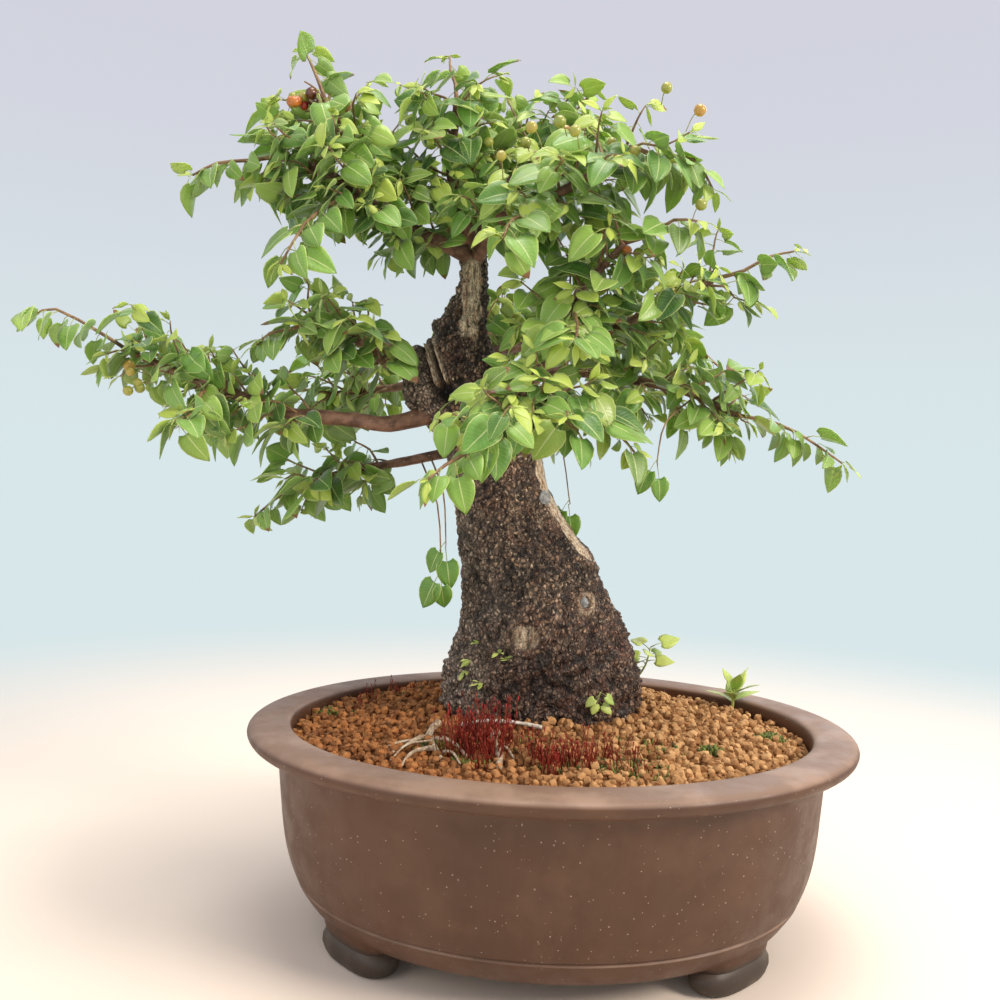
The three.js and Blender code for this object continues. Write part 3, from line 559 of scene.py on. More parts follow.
def makePot():
    build = buildPot()
    toFrame = Matrix.Translation(potMiddle) @ Matrix.Scale(mm, 4)
    bmesh.ops.transform(build, matrix=toFrame, verts=build.verts)
    pot = finishPiece(build, "stoneware_pot", makeStoneware(), ["pot"])
    fine = pot.modifiers.new("fine", "SUBSURF")
    fine.levels = 1
    fine.render_levels = 1
    cutters = []
    for side in (-1, 1):
        drill = bmesh.new()
        spot = potMiddle + Vector((side * potValues["holeSpacing"] / 2 * mm, 0, 26 * mm))
        radius = potValues["holeRadius"] * mm
        bmesh.ops.create_cone(
            drill, cap_ends=True, segments=48, radius1=radius, radius2=radius, depth=40 * mm,
            matrix=Matrix.Translation(spot),
        )
        cutter = bpy.data.objects.new("drill", toMesh(drill, "drill"))
        cutters.append((cutter, "DIFFERENCE"))
    for degrees in (potValues["footAngle"], -potValues["footAngle"]):
        for angle in (math.radians(degrees), math.radians(180 - degrees)):
            block = bmesh.new()
            addFoot(block, angle)
            faceOut(block)
            bmesh.ops.transform(block, matrix=toFrame, verts=block.verts)
            cutters.append((bpy.data.objects.new("foot", toMesh(block, "foot")), "UNION"))
    for cutter, operation in cutters:
        bpy.context.scene.collection.objects.link(cutter)
        boolean = pot.modifiers.new("join", "BOOLEAN")
        boolean.operation = operation
        boolean.solver = "EXACT"
        boolean.object = cutter
    settle(pot)
    for cutter, _ in cutters:
        mesh = cutter.data
        bpy.data.objects.remove(cutter)
        bpy.data.meshes.remove(mesh)
    pot.data.polygons.foreach_set("use_smooth", [True] * len(pot.data.polygons))
    pot.data.set_sharp_from_angle(angle=math.radians(50))
    print("pot made:", len(pot.data.polygons), "faces")


makePot()

# Trunk

trunkValues = {
    "coarse": 5.6,  # first voxel, in millimetres
    "smoothing": 5,
    "plate": (3.9, 5.6),  # width and height of a bark plate
    "crackDepth": 1.5,
    "lumps": 3.0,
    # the dead leader's bare wood
    "stub": {"x": -65, "half": (5.2, 7.6), "from": (277, 286), "to": (338, 346)},
    "hollow": {"top": (-100, 283), "bottom": (-83, 238), "half": 10.5, "depth": 15},
    "shari": {"top": (-5, 26, 182), "bottom": (25, 22, 133), "half": 22},
    "scar": {"middle": (-17.4, 64.4), "radius": 11.5},
    "ring": {"middle": (25.7, 87), "radius": 6.5},  # the callus round the lower sealed cut
}
trunkLayers = ("crack", "pale", "deadwood", "hollow", "burl")


def towards(point, start, end):
    line = end - start
    share = min(1.0, max(0.0, (point - start).dot(line) / line.length_squared))
    return share, (point - start - line * share).length


# How far a spot of the trunk stands out, in millimetres, and what its surface is there.
def trunkRelief(spot, normal):
    x, y, height = spot
    marks = dict.fromkeys(trunkLayers, 0.0)
    plateWide, plateTall = trunkValues["plate"]
    warp = noise.noise_vector(spot / 15) * 0.45
    distances, _ = noise.voronoi(Vector((x / plateWide, y / plateWide, height / plateTall)) + warp)
    crack = 1 - eased(distances[1] - distances[0], 0.02, 0.3)
    coarse, _ = noise.voronoi(Vector((x / 15, y / 15, height / 24)) + warp * 1.4)
    furrow = 1 - eased(coarse[1] - coarse[0], 0.0, 0.16)
    burl = 1 - eased(height, 62, 96)
    lump = noise.fractal(spot / 17, 1.0, 2.0, 3)
    knots = noise.fractal(spot / 7, 1.0, 2.0, 2)
    strands = noise.noise(Vector((x / 4.2, y / 4.2, height / 24)))
    shreds = abs(noise.noise(Vector((x / 3.4, y / 3.4, height / 5.2)) + warp))
    out = trunkValues["lumps"] * lump * (0.55 + 0.8 * burl) + knots * (0.35 + 1.5 * burl) + strands * 0.8
    out += 2.6 * burl * (shreds - 0.2)
    barkShare = 1.0
    # the dead leader
    stub = trunkValues["stub"]
    wander = 2.2 * noise.noise(Vector((3, 5, height / 11)))
    dead = (1 - eased(abs(x - stub["x"] + wander), *stub["half"])) * (1 - eased(normal.y, 0.1, 0.5))
    dead *= eased(height + 5 * noise.noise(spot / 4), *stub["from"]) * (1 - eased(height, *stub["to"]))
    split = noise.noise(Vector((x / 3.2, y / 3.2, height / 55)))
    out += dead * (1.6 - 2.8 * (1 - eased(abs(split), 0.0, 0.2)) + 1.6 * split)
    marks["deadwood"] = dead
    marks["crack"] = dead * (1 - eased(abs(split), 0.0, 0.12))
    neck = eased(height, 284, 296) * (1 - dead)
    out += neck * (2.2 * noise.noise(spot / 6) + 1.2)
    barkShare *= 1 - dead
    # the hollow and the two strips of old wood inside it
    hollow = trunkValues["hollow"]
    if normal.y < 0.35 and 205 < height < 305:
        flat = Vector((x, height))
        share, away = towards(flat, Vector(hollow["top"]), Vector(hollow["bottom"]))
        side = (x - hollow["top"][0] - (hollow["bottom"][0] - hollow["top"][0]) * share)
        cave = 1 - eased(away + noise.noise(spot / 5) * 1.6, hollow["half"] * 0.45, hollow["half"])
        lip = ridge(away - hollow["half"] - 2, 2.6)
        strip = max(ridge(side - 4.0, 2.6), ridge(side + 3.6, 2.3))
        strip *= cave * (1 - eased(abs(share - 0.42), 0.36, 0.5))
        out += -hollow["depth"] * cave + 12.5 * strip + 1.6 * lip
        # the hollow layer marks the inside of the hollow, which the bark material lays near-black as painted
        # shade
        marks["hollow"] = cave * (1 - strip)
        marks["deadwood"] = max(marks["deadwood"], eased(strip, 0.2, 0.7))
        barkShare *= 1 - cave
    # the bare strip down the right side
    shari = trunkValues["shari"]
    share, away = towards(spot, Vector(shari["top"]), Vector(shari["bottom"]))
    ragged = away + noise.noise(spot / 6) * 2.4 + (1 - eased(share, -0.2, 0.55)) * 6
    bare = 1 - eased(ragged, shari["half"] * 0.75, shari["half"])
    out += bare * (-1.4 + 0.5 * noise.noise(Vector((x / 1.8, y / 1.8, height / 40))))
    callus = ridge(ragged - shari["half"] - 2.5, 3.2)
    out += 1.8 * callus
    marks["deadwood"] = max(marks["deadwood"], bare * 0.9)
    barkShare *= (1 - bare) * (1 - 0.8 * callus)
    # the round scar low on the front
    scar = trunkValues["scar"]
    if normal.y < 0 and y < 0:
        away = math.hypot(x - scar["middle"][0], (height - scar["middle"][1]) * 1.1)
        face = 1 - eased(away, scar["radius"] * 0.7, scar["radius"] * 0.95)
        callus = ridge(away - scar["radius"] * 1.15, 2.6)
        slit = ridge(x - scar["middle"][0] - 1, 0.9) * face
        out += -1.2 * face + 2.4 * callus - 2.2 * slit
        marks["deadwood"] = max(marks["deadwood"], face * 0.55)
        marks["crack"] = max(marks["crack"], slit)
        barkShare *= 1 - 0.85 * max(face, callus * 0.6)
        ring = trunkValues["ring"]
        away = math.hypot((x - ring["middle"][0]) * 1.2, height - ring["middle"][1])
        raised = ridge(away - ring["radius"], 2.0)
        out += 1.8 * raised
        marks["deadwood"] = max(marks["deadwood"], raised * 0.4)
        barkShare *= 1 - raised * 0.7
    out -= barkShare * (trunkValues["crackDepth"] * crack * (0.5 + 0.5 * (1 - burl)) + 1.5 * furrow)
    # the crack layer: fissures whose bark is darker, which the bark material lays near-black, partly as
    # painted shade
    marks["crack"] = max(marks["crack"], barkShare * max(crack * 0.85, furrow))
    # painted light: where the surface faces -x the left flank is laid paler, as if lit from the left; the
    # upper-left patch and the left root flare are paler bark
    litLeftSide = eased(-normal.x, 0.1, 0.8) * (0.5 + 0.5 * eased(noise.noise(spot / 13), -0.3, 0.3))
    upperLeft = eased(-x, 80, 94) * eased(height, 208, 232) * (1 - eased(height, 275, 292))
    root = eased(-x, 34, 58) * (1 - eased(height, 30, 76))
    marks["pale"] = barkShare * max(litLeftSide * 0.8, upperLeft * 0.9, root)
    marks["burl"] = burl * barkShare
    return out, marks


def makeBark():
    look = newLook("barkAndOldWood", 0.85, Specular_IOR_Level=0.45)
    crack, pale, deadwood, hollow, burl = [look.layer(name) for name in trunkLayers]
    wavy = look.add("ShaderNodeTexNoise", {"Vector": look.place, "Scale": 140.0, "Detail": 2.0})["Color"]
    bent = look.add("ShaderNodeVectorMath", {0: wavy, 1: (0.004, 0.004, 0.004)}, operation="MULTIPLY")[0]
    moved = look.add("ShaderNodeVectorMath", {0: look.place, 1: bent}, operation="ADD")[0]
    drawn = look.add("ShaderNodeMapping", {"Vector": moved, "Scale": (1, 1, 0.7)})[0]
    cells = {"Vector": drawn, "Scale": 330.0}
    edges = look.add("ShaderNodeTexVoronoi", cells, feature="DISTANCE_TO_EDGE")["Distance"]
    flake = look.fit(edges, 0.02, 0.26)
    plate = look.add("ShaderNodeSeparateColor", {0: look.add("ShaderNodeTexVoronoi", cells)["Color"]})[0]
    mottled = look.noise(130, 6, 0.65)
    fine = look.noise(700, 5, 0.6)
    look.tone = look.mix(look.fit(mottled, 0.36, 0.66), "432e21", "8c6a50")
    look.lay(look.fit(plate, 0.35, 1.0, 0, 0.75), "bd9c7e")
    look.lay(look.fit(plate, 0.0, 0.4, 0.75, 0), "2a1b13")
    # painted highlights: small pale specks laid over the bark
    look.lay(look.fit(look.noise(420, 4, 0.6), 0.55, 0.66, 0, 0.9), "e8d0b2")
    look.lay(look.times(burl, look.fit(mottled, 0.3, 0.7, 0.1, 0.7)), "61392a")
    look.lay(look.use(patches, 24.0, 0.48, 0.64), "1e130d", 0.62)
    look.lay(look.use(patches, 60.0, 0.5, 0.66), "7c4e38", 0.45)
    # the pale layer: painted light on the left flank, and paler bark on the upper left and at the root flare
    paleAndLitTone = look.mix(look.fit(fine, 0.35, 0.7), "a78a72", "ecd7c0")
    look.lay(look.times(pale, look.fit(mottled, 0.35, 0.58, 0.4, 1.0)), paleAndLitTone)
    # plate edges darkened: partly the darker bark between the plates, partly painted shade in the gaps
    look.lay(look.fit(flake, 0.0, 1.0, 0.68, 0.0), "170f0b")
    grain = look.use(fibres, 520.0)
    wood = look.mix(look.fit(grain, 0.36, 0.62), "9a6f4b", "f6e2c0")
    look.lay(deadwood, look.mix(look.fit(mottled, 0.54, 0.75, 0, 0.6), wood, "a5785c"))
    # cracks laid near-black: partly the fissures' own dark bark, partly painted shade
    look.lay(look.fit(crack, 0.35, 1.0, 0.0, 0.82), "140d0a")
    # painted shade: the inside of the hollow is laid near-black
    look.lay(hollow, "0e0907")
    reliefs = [(flake, 0.85, 0.0014), (mottled, 0.45, 0.0015), (grain, 0.25, 0.0005), (fine, 0.5, 0.0007)]
    return look.finish(look.rough(fine, 0.36, 0.8), *reliefs)


def makeTrunk():
    piece = newObject("trunk_wood", toMesh(mergedCopy("trunk"), "trunk_wood"))
    voxels = piece.modifiers.new("voxels", "REMESH")
    voxels.mode = "VOXEL"
    voxels.voxel_size = trunkValues["coarse"] * mm
    ease = piece.modifiers.new("ease", "SMOOTH")
    ease.factor = 0.5
    ease.iterations = trunkValues["smoothing"]
    fine = piece.modifiers.new("fine", "SUBSURF")
    fine.levels = 2
    fine.render_levels = 2
    settle(piece)
    build = bmesh.new()
    build.from_mesh(piece.data)
    layers = {name: build.verts.layers.float.new(name) for name in trunkLayers}
    build.normal_update()
    moves = []
    for vert in build.verts:
        out, marks = trunkRelief(toRim(vert.co), vert.normal)
        moves.append((vert, vert.normal * (out * mm)))
        for name, value in marks.items():
            vert[layers[name]] = value
    for vert, move in moves:
        vert.co += move
    faceOut(build)
    build.to_mesh(piece.data)
    surfaceTree = BVHTree.FromBMesh(build)
    build.free()
    dressPiece(piece, makeBark(), ["trunk"])
    print("trunk made:", len(piece.data.polygons), "faces")
    return surfaceTree


trunkTree = makeTrunk()

# Leaves

leafValues = {
    "shapes": 9,
    "length": 22.0,
    "widthShare": 0.88,
    "thickness": 0.28,
    "petiole": 10.0,
    "petioleRadius": 0.42,
    "sizes": (0.6, 1.12),
    "ownRoom": 6.2,  # between the middles of two leaves
}
leafLayers = ("across", "along", "under", "tint", "young", "worn")


# One leaf on its stalk: the stalk's foot is at the origin, the blade goes out along Y, its upper face to Z.
def leafShape(name, dice, length, widthShare, petiole, lance=False):
    build = newBuild(*leafLayers)
    layers = build.verts.layers.float
    bmesh.ops.create_grid(build, x_segments=4, y_segments=6, size=1)
    fold = dice.uniform(0.05, 0.38) * dice.choice((1, 1, 1, -0.5))
    arch = dice.uniform(0.15, 0.65)
    ripple = dice.uniform(0.15, 0.7)
    twist = dice.uniform(-0.35, 0.35)
    halfWidth = length * widthShare / 2
    for vert in build.verts:
        across = vert.co.x
        along = (vert.co.y + 1) / 2
        along -= 0.06 * math.sin(math.tau * along)
        vert[layers["across"]] = across
        vert[layers["along"]] = along
        if lance:
            breadth = math.sin(math.pi * min(1, along * 0.97 + 0.03) ** 0.85)
        else:
            breadth = 2.03 * (along + 0.03) ** 0.38 * (1 - along) ** 0.8
        side = halfWidth * breadth * across
        notch = 0.1 * across * across * (1 - along) ** 3
        bend = arch * along
        ahead = length * (math.sin(bend) / arch - notch + 0.07 * along ** 9)
        drop = -length * (1 - math.cos(bend)) / arch
        curl = math.sin(9 * along + 2 * across) * across * across
        rise = abs(side) * math.sin(fold) + ripple * curl * breadth
        lean = twist * along
        vert.co = Vector((
            side * math.cos(fold) * math.cos(lean) - rise * math.sin(lean),
            ahead,
            drop + rise * math.cos(lean) + side * math.sin(lean),
        ))
    bmesh.ops.remove_doubles(build, verts=build.verts, dist=0.02)
    faceOut(build)
    if sum(face.normal.z for face in build.faces) < 0:
        bmesh.ops.reverse_faces(build, faces=build.faces)
    bmesh.ops.solidify(build, geom=build.faces[:], thickness=leafValues["thickness"])
    faceOut(build)
    build.normal_update()
    for vert in build.verts:
        vert[layers["under"]] = 1.0 if vert.normal.z < 0.02 else 0.0
    hang = Matrix.Rotation(-dice.uniform(0.0, 0.6), 4, "X")
    lift = Matrix.Translation((0, petiole, petiole * -0.12))
    bmesh.ops.transform(build, matrix=lift @ hang, verts=build.verts)
    stalkPath = [Vector((0, petiole * y, petiole * z)) for y, z in ((0, 0), (0.5, 0.03), (1.02, -0.13))]
    radius = leafValues["petioleRadius"]
    stalk = growTube(build, stalkPath, [radius * 1.25, radius * 0.9, radius * 0.85], 3)
    setLayers(build, stalk, along=-1.0)
    faceOut(build)
    bmesh.ops.scale(build, vec=(mm, mm, mm), verts=build.verts)
    return toMesh(build, name)


leafDice = random.Random(5)
leafShapes = [
    leafShape(
        "leaf", leafDice, leafValues["length"], leafValues["widthShare"] * leafDice.uniform(0.9, 1.08),
        leafValues["petiole"] * leafDice.uniform(0.75, 1.2),
    )
    for _ in range(leafValues["shapes"])
]
budShapes = [leafShape("bud", leafDice, 17, 0.5, 4, lance=True) for _ in range(4)]
lanceShapes = [leafShape("lance", leafDice, 26, 0.5, 2, lance=True) for _ in range(3)]
roundShapes = [leafShape("round", leafDice, 14, 0.82, 8) for _ in range(3)]


def makeLeafGreen(name, dark, middle, light, young, wear=True):
    look = newLook(
        name, 0.42, Subsurface_Weight=0.16, Subsurface_Scale=0.003, Subsurface_Radius=(0.6, 1.0, 0.2),
        Specular_IOR_Level=0.62, Sheen_Weight=0.12,
    )
    across, along, under, tint, youth, worn = [look.layer(layer) for layer in leafLayers]
    away = look.calc("ABSOLUTE", across)
    look.tone = look.mix(look.fit(tint, 0.0, 0.5), dark, middle)
    look.lay(look.fit(tint, 0.5, 1.0), light)
    cloudy = look.use(patches, 90.0, 0.35, 0.7)
    look.lay(cloudy, light, 0.28)
    look.lay(youth, young)
    slant = look.calc("SUBTRACT", look.times(along, 9.0), look.times(away, 2.2))
    wave = look.calc("ABSOLUTE", look.calc("SUBTRACT", look.calc("FRACT", slant), 0.5))
    vein = look.fit(wave, 0.0, 0.09, 1.0, 0.0)
    midrib = look.fit(away, 0.02, 0.075, 1.0, 0.0)
    look.lay(vein, "a9c178", 0.28)
    look.lay(midrib, "c3d08a", 0.75)
    look.lay(look.fit(away, 0.9, 0.99), "c6d07a", 0.7)
    look.lay(under, "92ab6c", 0.4)
    if wear:
        tip = look.calc("ADD", along, look.times(look.noise(160, 4), 0.35))
        look.lay(look.times(look.fit(tip, 0.98, 1.06), worn), "7a4a26")
    look.lay(look.calc("LESS_THAN", along, -0.3), "a9b061")
    puffed = look.calc("SUBTRACT", 1.0, look.calc("MAXIMUM", vein, midrib))
    roughness = look.fit(cloudy, 0.0, 1.0, 0.36, 0.5)
    return look.finish(roughness, (puffed, 0.35, 0.0005), (look.noise(1400, 3), 0.12, 0.0003))


leafGreen = makeLeafGreen("leafGreen", "355c1e", "608f2f", "8cb146", "b6c94b")
youngGreen = makeLeafGreen("youngGreen", "8aa83c", "a3bd4c", "bccd60", "c9d66c", wear=False)


def makeTwigBark():
    look = newLook("twigBark", 0.6)
    broad = look.noise(120, 5)
    fine = look.noise(900, 4)
    soft = look.fit(broad, 0.35, 0.65)
    thin = look.mix(soft, "7b5b3d", "a08359")
    look.tone = look.mix(look.layer("thick"), thin, look.mix(soft, "5a3d2e", "8a6650"))
    look.lay(look.use(flecks, 520.0, 0.16, 0.34), "c1a888", 0.55)
    return look.finish(look.rough(fine, 0.5, 0.72), (broad, 0.4, 0.0008), (fine, 0.35, 0.0004))


twigBark = makeTwigBark()
print("leaf shapes and greens made")

# Limbs, twigs and foliage

# Per limb: the CAD shoots its foliage stands for, its side twigs, their reach in millimetres, how far along
# it they start, and where its thin hanging shoots end.
limbValues = {
    "crown_left": (("tip", "front", "rear"), 32, (26, 58), 0.1),
    "upper_left": (("tip", "side"), 20, (20, 46), 0.08),
    "crown_centre": (("tip",), 22, (28, 58), 0.25),
    "crown_right": (("tip", "side"), 20, (30, 62), 0.3),
    "crown_front": (("tip", "side"), 25, (28, 60), 0.2),
    "crown_back": (("tip",), 19, (28, 60), 0.35),
    "right_rising": (("tip", "side"), 19, (24, 52), 0.35),
    "right_mid": (("tip",), 16, (24, 50), 0.25),
    "right_low": (("tip",), 22, (24, 48), 0.3, (73, -25, 188)),
    "right_back": (("tip",), 17, (26, 52), 0.35),
    "front_low": (("tip",), 14, (20, 42), 0.35),
    "front_right": (("tip",), 10, (22, 42), 0.2),
    "left_low": (("tip", "side"), 33, (22, 48), 0.3),
    "left_lower": (("tip",), 13, (22, 44), 0.4, (-77, -20, 126), (-80, -20, 104)),
    "left_mid": (("tip",), 19, (22, 48), 0.15),
    "left_back": (("tip",), 17, (24, 48), 0.4),
    "back_low": (("tip",), 16, (26, 52), 0.4, (12, 45, 158)),
}
foliageValues = {
    "leafGap": 5.3,
    "twigRadii": (1.15, 0.5),
    "droop": (-0.15, 1.1),
    "youngShare": 0.14,
}
leafMiddles = []
fruitPlaces = [boxMiddle(node)[2] for node in ("berries_upper_left", "berries_left_low")]


# The middle line and radius of a limb, read from the rings of its solid, from its root to its tip.
def middleLine(node):
    build = mergedCopy(node)
    tip = max(build.verts, key=lambda vert: trunkTree.find_nearest(vert.co)[3])
    ring = set(sorted(build.verts, key=lambda vert: (vert.co - tip.co).length)[:5])
    seen = set(ring)
    rings = []
    while len(ring) == 5:
        middle = sum((vert.co for vert in ring), Vector()) / 5
        rings.append((middle, sum((vert.co - middle).length for vert in ring) / 5))
        ring = {edge.other_vert(vert) for vert in ring for edge in vert.link_edges} - seen
        seen |= ring
    build.free()
    rings.reverse()
    points = [middle for middle, _ in rings]
    inward = (points[0] - points[1]).normalized()
    root = points[0] + inward * 26 * mm
    # a root that would end beside the trunk is led into the wood
    spot, normal, _, away = trunkTree.find_nearest(points[0] + inward * 13 * mm)
    bark, outward, _, _ = trunkTree.find_nearest(root)
    if away < 24 * mm and (root - bark).dot(outward) > 0:
        root = spot - normal * 14 * mm
    return [root, *points], [rings[0][1] * 1.15, *[radius for _, radius in rings]]


def pointAlong(path, share):
    place = share * (len(path) - 1)
    index = min(int(place), len(path) - 2)
    return path[index].lerp(path[index + 1], place - index), (path[index + 1] - path[index]).normalized()


# A twig: it arches a little, wanders, and thins to its end.
def twigPath(start, reach, dice):
    arch = up * reach.length * dice.uniform(-0.02, 0.14)
    kink = Vector((dice.uniform(-1, 1), dice.uniform(-1, 1), dice.uniform(-1, 1))) * reach.length * 0.05
    first = start + reach * 0.35 + arch * 0.8 + kink
    return smoothPath([start, first, start + reach * 0.7 + arch - kink, start + reach], 2)


def insideBounds(place):
    low, high = cadBounds
    return all(low[i] - 2 * mm < place[i] < high[i] + 2 * mm for i in range(3))


# A leaf's place: Y goes along, and Z as near to its face as it can.
def leafAt(foot, along, face, size):
    face = (face - along * face.dot(along)).normalized()
    turned = Matrix((along.cross(face), along, face)).transposed().to_4x4()
    return Matrix.Translation(foot) @ turned @ Matrix.Scale(size, 4)


def hidesFruit(middle):
    for spot in fruitPlaces:
        if math.hypot(middle.x - spot.x, middle.z - spot.z) < 19 * mm and middle.y < spot.y + 8 * mm:
            return True
    return False


# Adds a leaf unless it would crowd another, hide the fruit, touch the trunk or leave the tree's bounds.
def addLeaf(build, foot, heading, side, dice, size, young=0.0, shapes=leafShapes, crowd=True):
    droop = dice.uniform(*foliageValues["droop"])
    along = heading * dice.uniform(0.25, 0.8) + side * dice.uniform(0.6, 1.0)
    along.z = along.z * 0.5 - droop * 0.85 + 0.3 * young
    along.normalize()
    outward = foot - (potMiddle + Vector((-0.03, 0.02, foot.z)))
    outward.z = 0
    face = up * dice.uniform(0.35, 1.0) + outward.normalized() * dice.uniform(0.3, 1.1)
    face += strewn(dice, 0.4, 0)
    middle = foot + along * leafValues["length"] * size * mm
    tip = foot + along * (leafValues["length"] * 1.25 + leafValues["petiole"]) * size * mm
    room = leafValues["ownRoom"] * mm
    if crowd and any((middle - other).length < room for other in leafMiddles):
        return
    if hidesFruit(middle) or not insideBounds(tip) or trunkTree.find_nearest(middle)[3] < 9 * mm:
        return
    leafMiddles.append(middle)
    tint = min(1, max(0, dice.gauss(0.45, 0.24)))
    matrix = leafAt(foot, along, face, size)
    addCopy(build, dice.choice(shapes), matrix, tint=tint, young=young, worn=float(dice.random() > 0.9))


def leafTwig(wood, leaves, path, radii, dice, young=0.0):
    setLayers(wood, growTube(wood, path, radii, 5), thick=0.25)
    length = sum((second - first).length for first, second in zip(path, path[1:]))
    count = max(2, int(length / mm / foliageValues["leafGap"]))
    side = 1 if dice.random() > 0.5 else -1
    for i in range(count):
        share = min(0.99, 0.16 + 0.84 * (i + dice.uniform(0.2, 0.8)) / count)
        foot, heading = pointAlong(path, share)
        across = heading.cross(up).normalized()
        turn = Matrix.Rotation(dice.uniform(-0.9, 0.9), 3, heading)
        fresh = young if i < count - 2 else max(young, dice.uniform(0.2, 0.95))
        size = dice.uniform(*leafValues["sizes"]) * (0.78 if fresh > 0.45 else 1)
        addLeaf(leaves, foot, heading, turn @ across * side, dice, size, fresh)
        side = -side
    for _ in range(3):
        aside = Vector((dice.uniform(-1, 1), dice.uniform(-1, 1), dice.uniform(-0.2, 0.9))).normalized()
        size = dice.uniform(0.4, 0.8)
        addLeaf(leaves, path[-1], heading, aside * 0.6, dice, size, dice.uniform(0.8, 1.0), budShapes, False)


# A long thin shoot that hangs from the nearest point of the limb and ends in a big leaf or two.
def hangingShoot(wood, leaves, path, end, dice):
    start = min(path[2:], key=lambda place: (place - end).length)
    side = Vector((end.x - start.x, end.y - start.y, 0)) * 0.4
    shoot = smoothPath([start, start.lerp(end, 0.4) + side, end + up * 7 * mm, end], 3)
    setLayers(wood, growTube(wood, shoot, twigRadii(len(shoot), 0.7), 5), thick=0.1)
    for share, lean in ((1.0, 0.15), (0.72, -0.7)):
        foot, _ = pointAlong(shoot, share)
        along = Vector((lean, -0.15, -1)).normalized()
        matrix = leafAt(foot, along, Vector((lean * 0.4, -1, 0.35)), dice.uniform(0.75, 1.0))
        addCopy(leaves, dice.choice(leafShapes), matrix, tint=0.35, young=0.0, worn=0.0)


def makeLimb(name, values, seed):
    shoots, twigs, reaches, first, *hanging = values
    dice = random.Random(seed)
    points, radii = middleLine("limb_" + name)
    path = smoothPath(points, 5)
    wood = newBuild("thick")
    leaves = newBuild(*leafLayers)
    steps = len(path) - 1
    thick = []
    for i in range(len(path)):
        place = i / steps * (len(radii) - 1)
        index = min(int(place), len(radii) - 2)
        radius = radii[index] + (radii[index + 1] - radii[index]) * (place - index)
        knob = 1 + 0.14 * noise.noise(path[i] / (9 * mm)) + 0.2 * max(0, noise.noise(path[i] / (23 * mm)))
        thick.append(radius * knob)
    setLayers(wood, growTube(wood, path, thick, 12), thick=1.0)
    replaced = ["shoot_" + name + "_" + shoot for shoot in shoots]
    for shoot, node in zip(shoots, replaced):
        _, _, middle = boxMiddle(node)
        start = min(path[len(path) // 3:], key=lambda place: (place - middle).length)
        if shoot == "tip":
            start = path[-1]
        reach = (middle - start) * 1.6
        if reach.length < 16 * mm:
            reach = (path[-1] - path[-4]).normalized() * 28 * mm
        leafTwig(wood, leaves, twigPath(start, reach, dice), twigRadii(7, 1.5), dice, 0.12)
    for i in range(twigs):
        share = first + (1 - first) * (i + dice.uniform(0.1, 0.9)) / twigs
        start, heading = pointAlong(path, min(0.985, share))
        across = heading.cross(up).normalized()
        turn = Matrix.Rotation(i * 2.4 + dice.uniform(-0.4, 0.4), 3, heading)
        side = turn @ across
        reach = heading * dice.uniform(0.3, 0.85) + side * dice.uniform(0.7, 1.0)
        reach.z = reach.z * 0.7 + 0.12
        reach = reach.normalized() * dice.uniform(*reaches) * mm
        if trunkTree.find_nearest(start + reach)[3] < 14 * mm:
            continue
        spray = twigPath(start, reach, dice)
        young = foliageValues["youngShare"] * (dice.random() > 0.6)
        leafTwig(wood, leaves, spray, twigRadii(len(spray)), dice, young)
    for end in hanging:
        hangingShoot(wood, leaves, path, fromRim(*end), dice)
    faceOut(wood)
    finishPiece(wood, "wood_" + name, twigBark, ["limb_" + name])
    finishPiece(leaves, "foliage_" + name, leafGreen, replaced)


def twigRadii(count, girth=1.0):
    thick, thin = foliageValues["twigRadii"]
    return [(thick + (thin - thick) * i / (count - 1)) * girth * mm for i in range(count)]


for seed, (name, values) in enumerate(limbValues.items()):
    makeLimb(name, values, seed + 11)
print("limbs made, leaves:", len(leafMiddles))

# Soil

soilValues = {
    "pitch": 5.4,  # between grains, in millimetres
    "grain": (3.7, 7.2),
    "upperShare": 0.42,  # of the grains that carry another
    "shapes": 6,
}
soilTree = treeOf("soil")


# The soil's surface below a spot given in millimetres from the pot's middle, or nothing under the trunk.
def soilUnder(x, y):
    above = fromRim(x, y, 200)
    ground, _, _, _ = soilTree.ray_cast(above, -up)
    bark, _, _, _ = trunkTree.ray_cast(fromRim(x, y, 60), -up)
    if ground is None or (bark is not None and bark.z > ground.z + 1 * mm):
        return None
    return ground


def onSoil(x, y, above):
    ground, _, _, _ = soilTree.ray_cast(fromRim(x, y, 200), -up)
    return ground + up * above * mm


def grainShape(dice):
    build = bmesh.new()
    bmesh.ops.create_cube(build, size=2)
    bmesh.ops.subdivide_edges(build, edges=build.edges[:], cuts=1, use_grid_fill=True)
    for vert in build.verts:
        rounded = vert.co.normalized() * 0.66 + vert.co * 0.24
        jitter = Vector((dice.uniform(-1, 1), dice.uniform(-1, 1), dice.uniform(-1, 1))) * 0.19
        vert.co = (rounded + jitter) * 0.5
    faceOut(build)
    return toMesh(build, "grain")


def makeGranules(name):
    look = newLook(name, 0.95, Specular_IOR_Level=0.2)
    tint = look.layer("tint")
    centred = look.add("ShaderNodeMapping", {"Vector": look.place, "Location": tuple(-potMiddle)})[0]
    right = look.fit(look.part(centred, "X"), -0.09, 0.09)
    look.tone = look.mix(right, look.mix(tint, "5e341c", "b0713f"), look.mix(tint, "7f5430", "d6aa76"))
    look.lay(look.use(patches, 320.0, 0.35, 0.65), "c79663", 0.35)
    look.lay(look.use(flecks, 900.0, 0.12, 0.4), "5a3018", 0.5)
    return look.finish(None, (look.noise(900, 5, 0.7), 0.7, 0.0005))


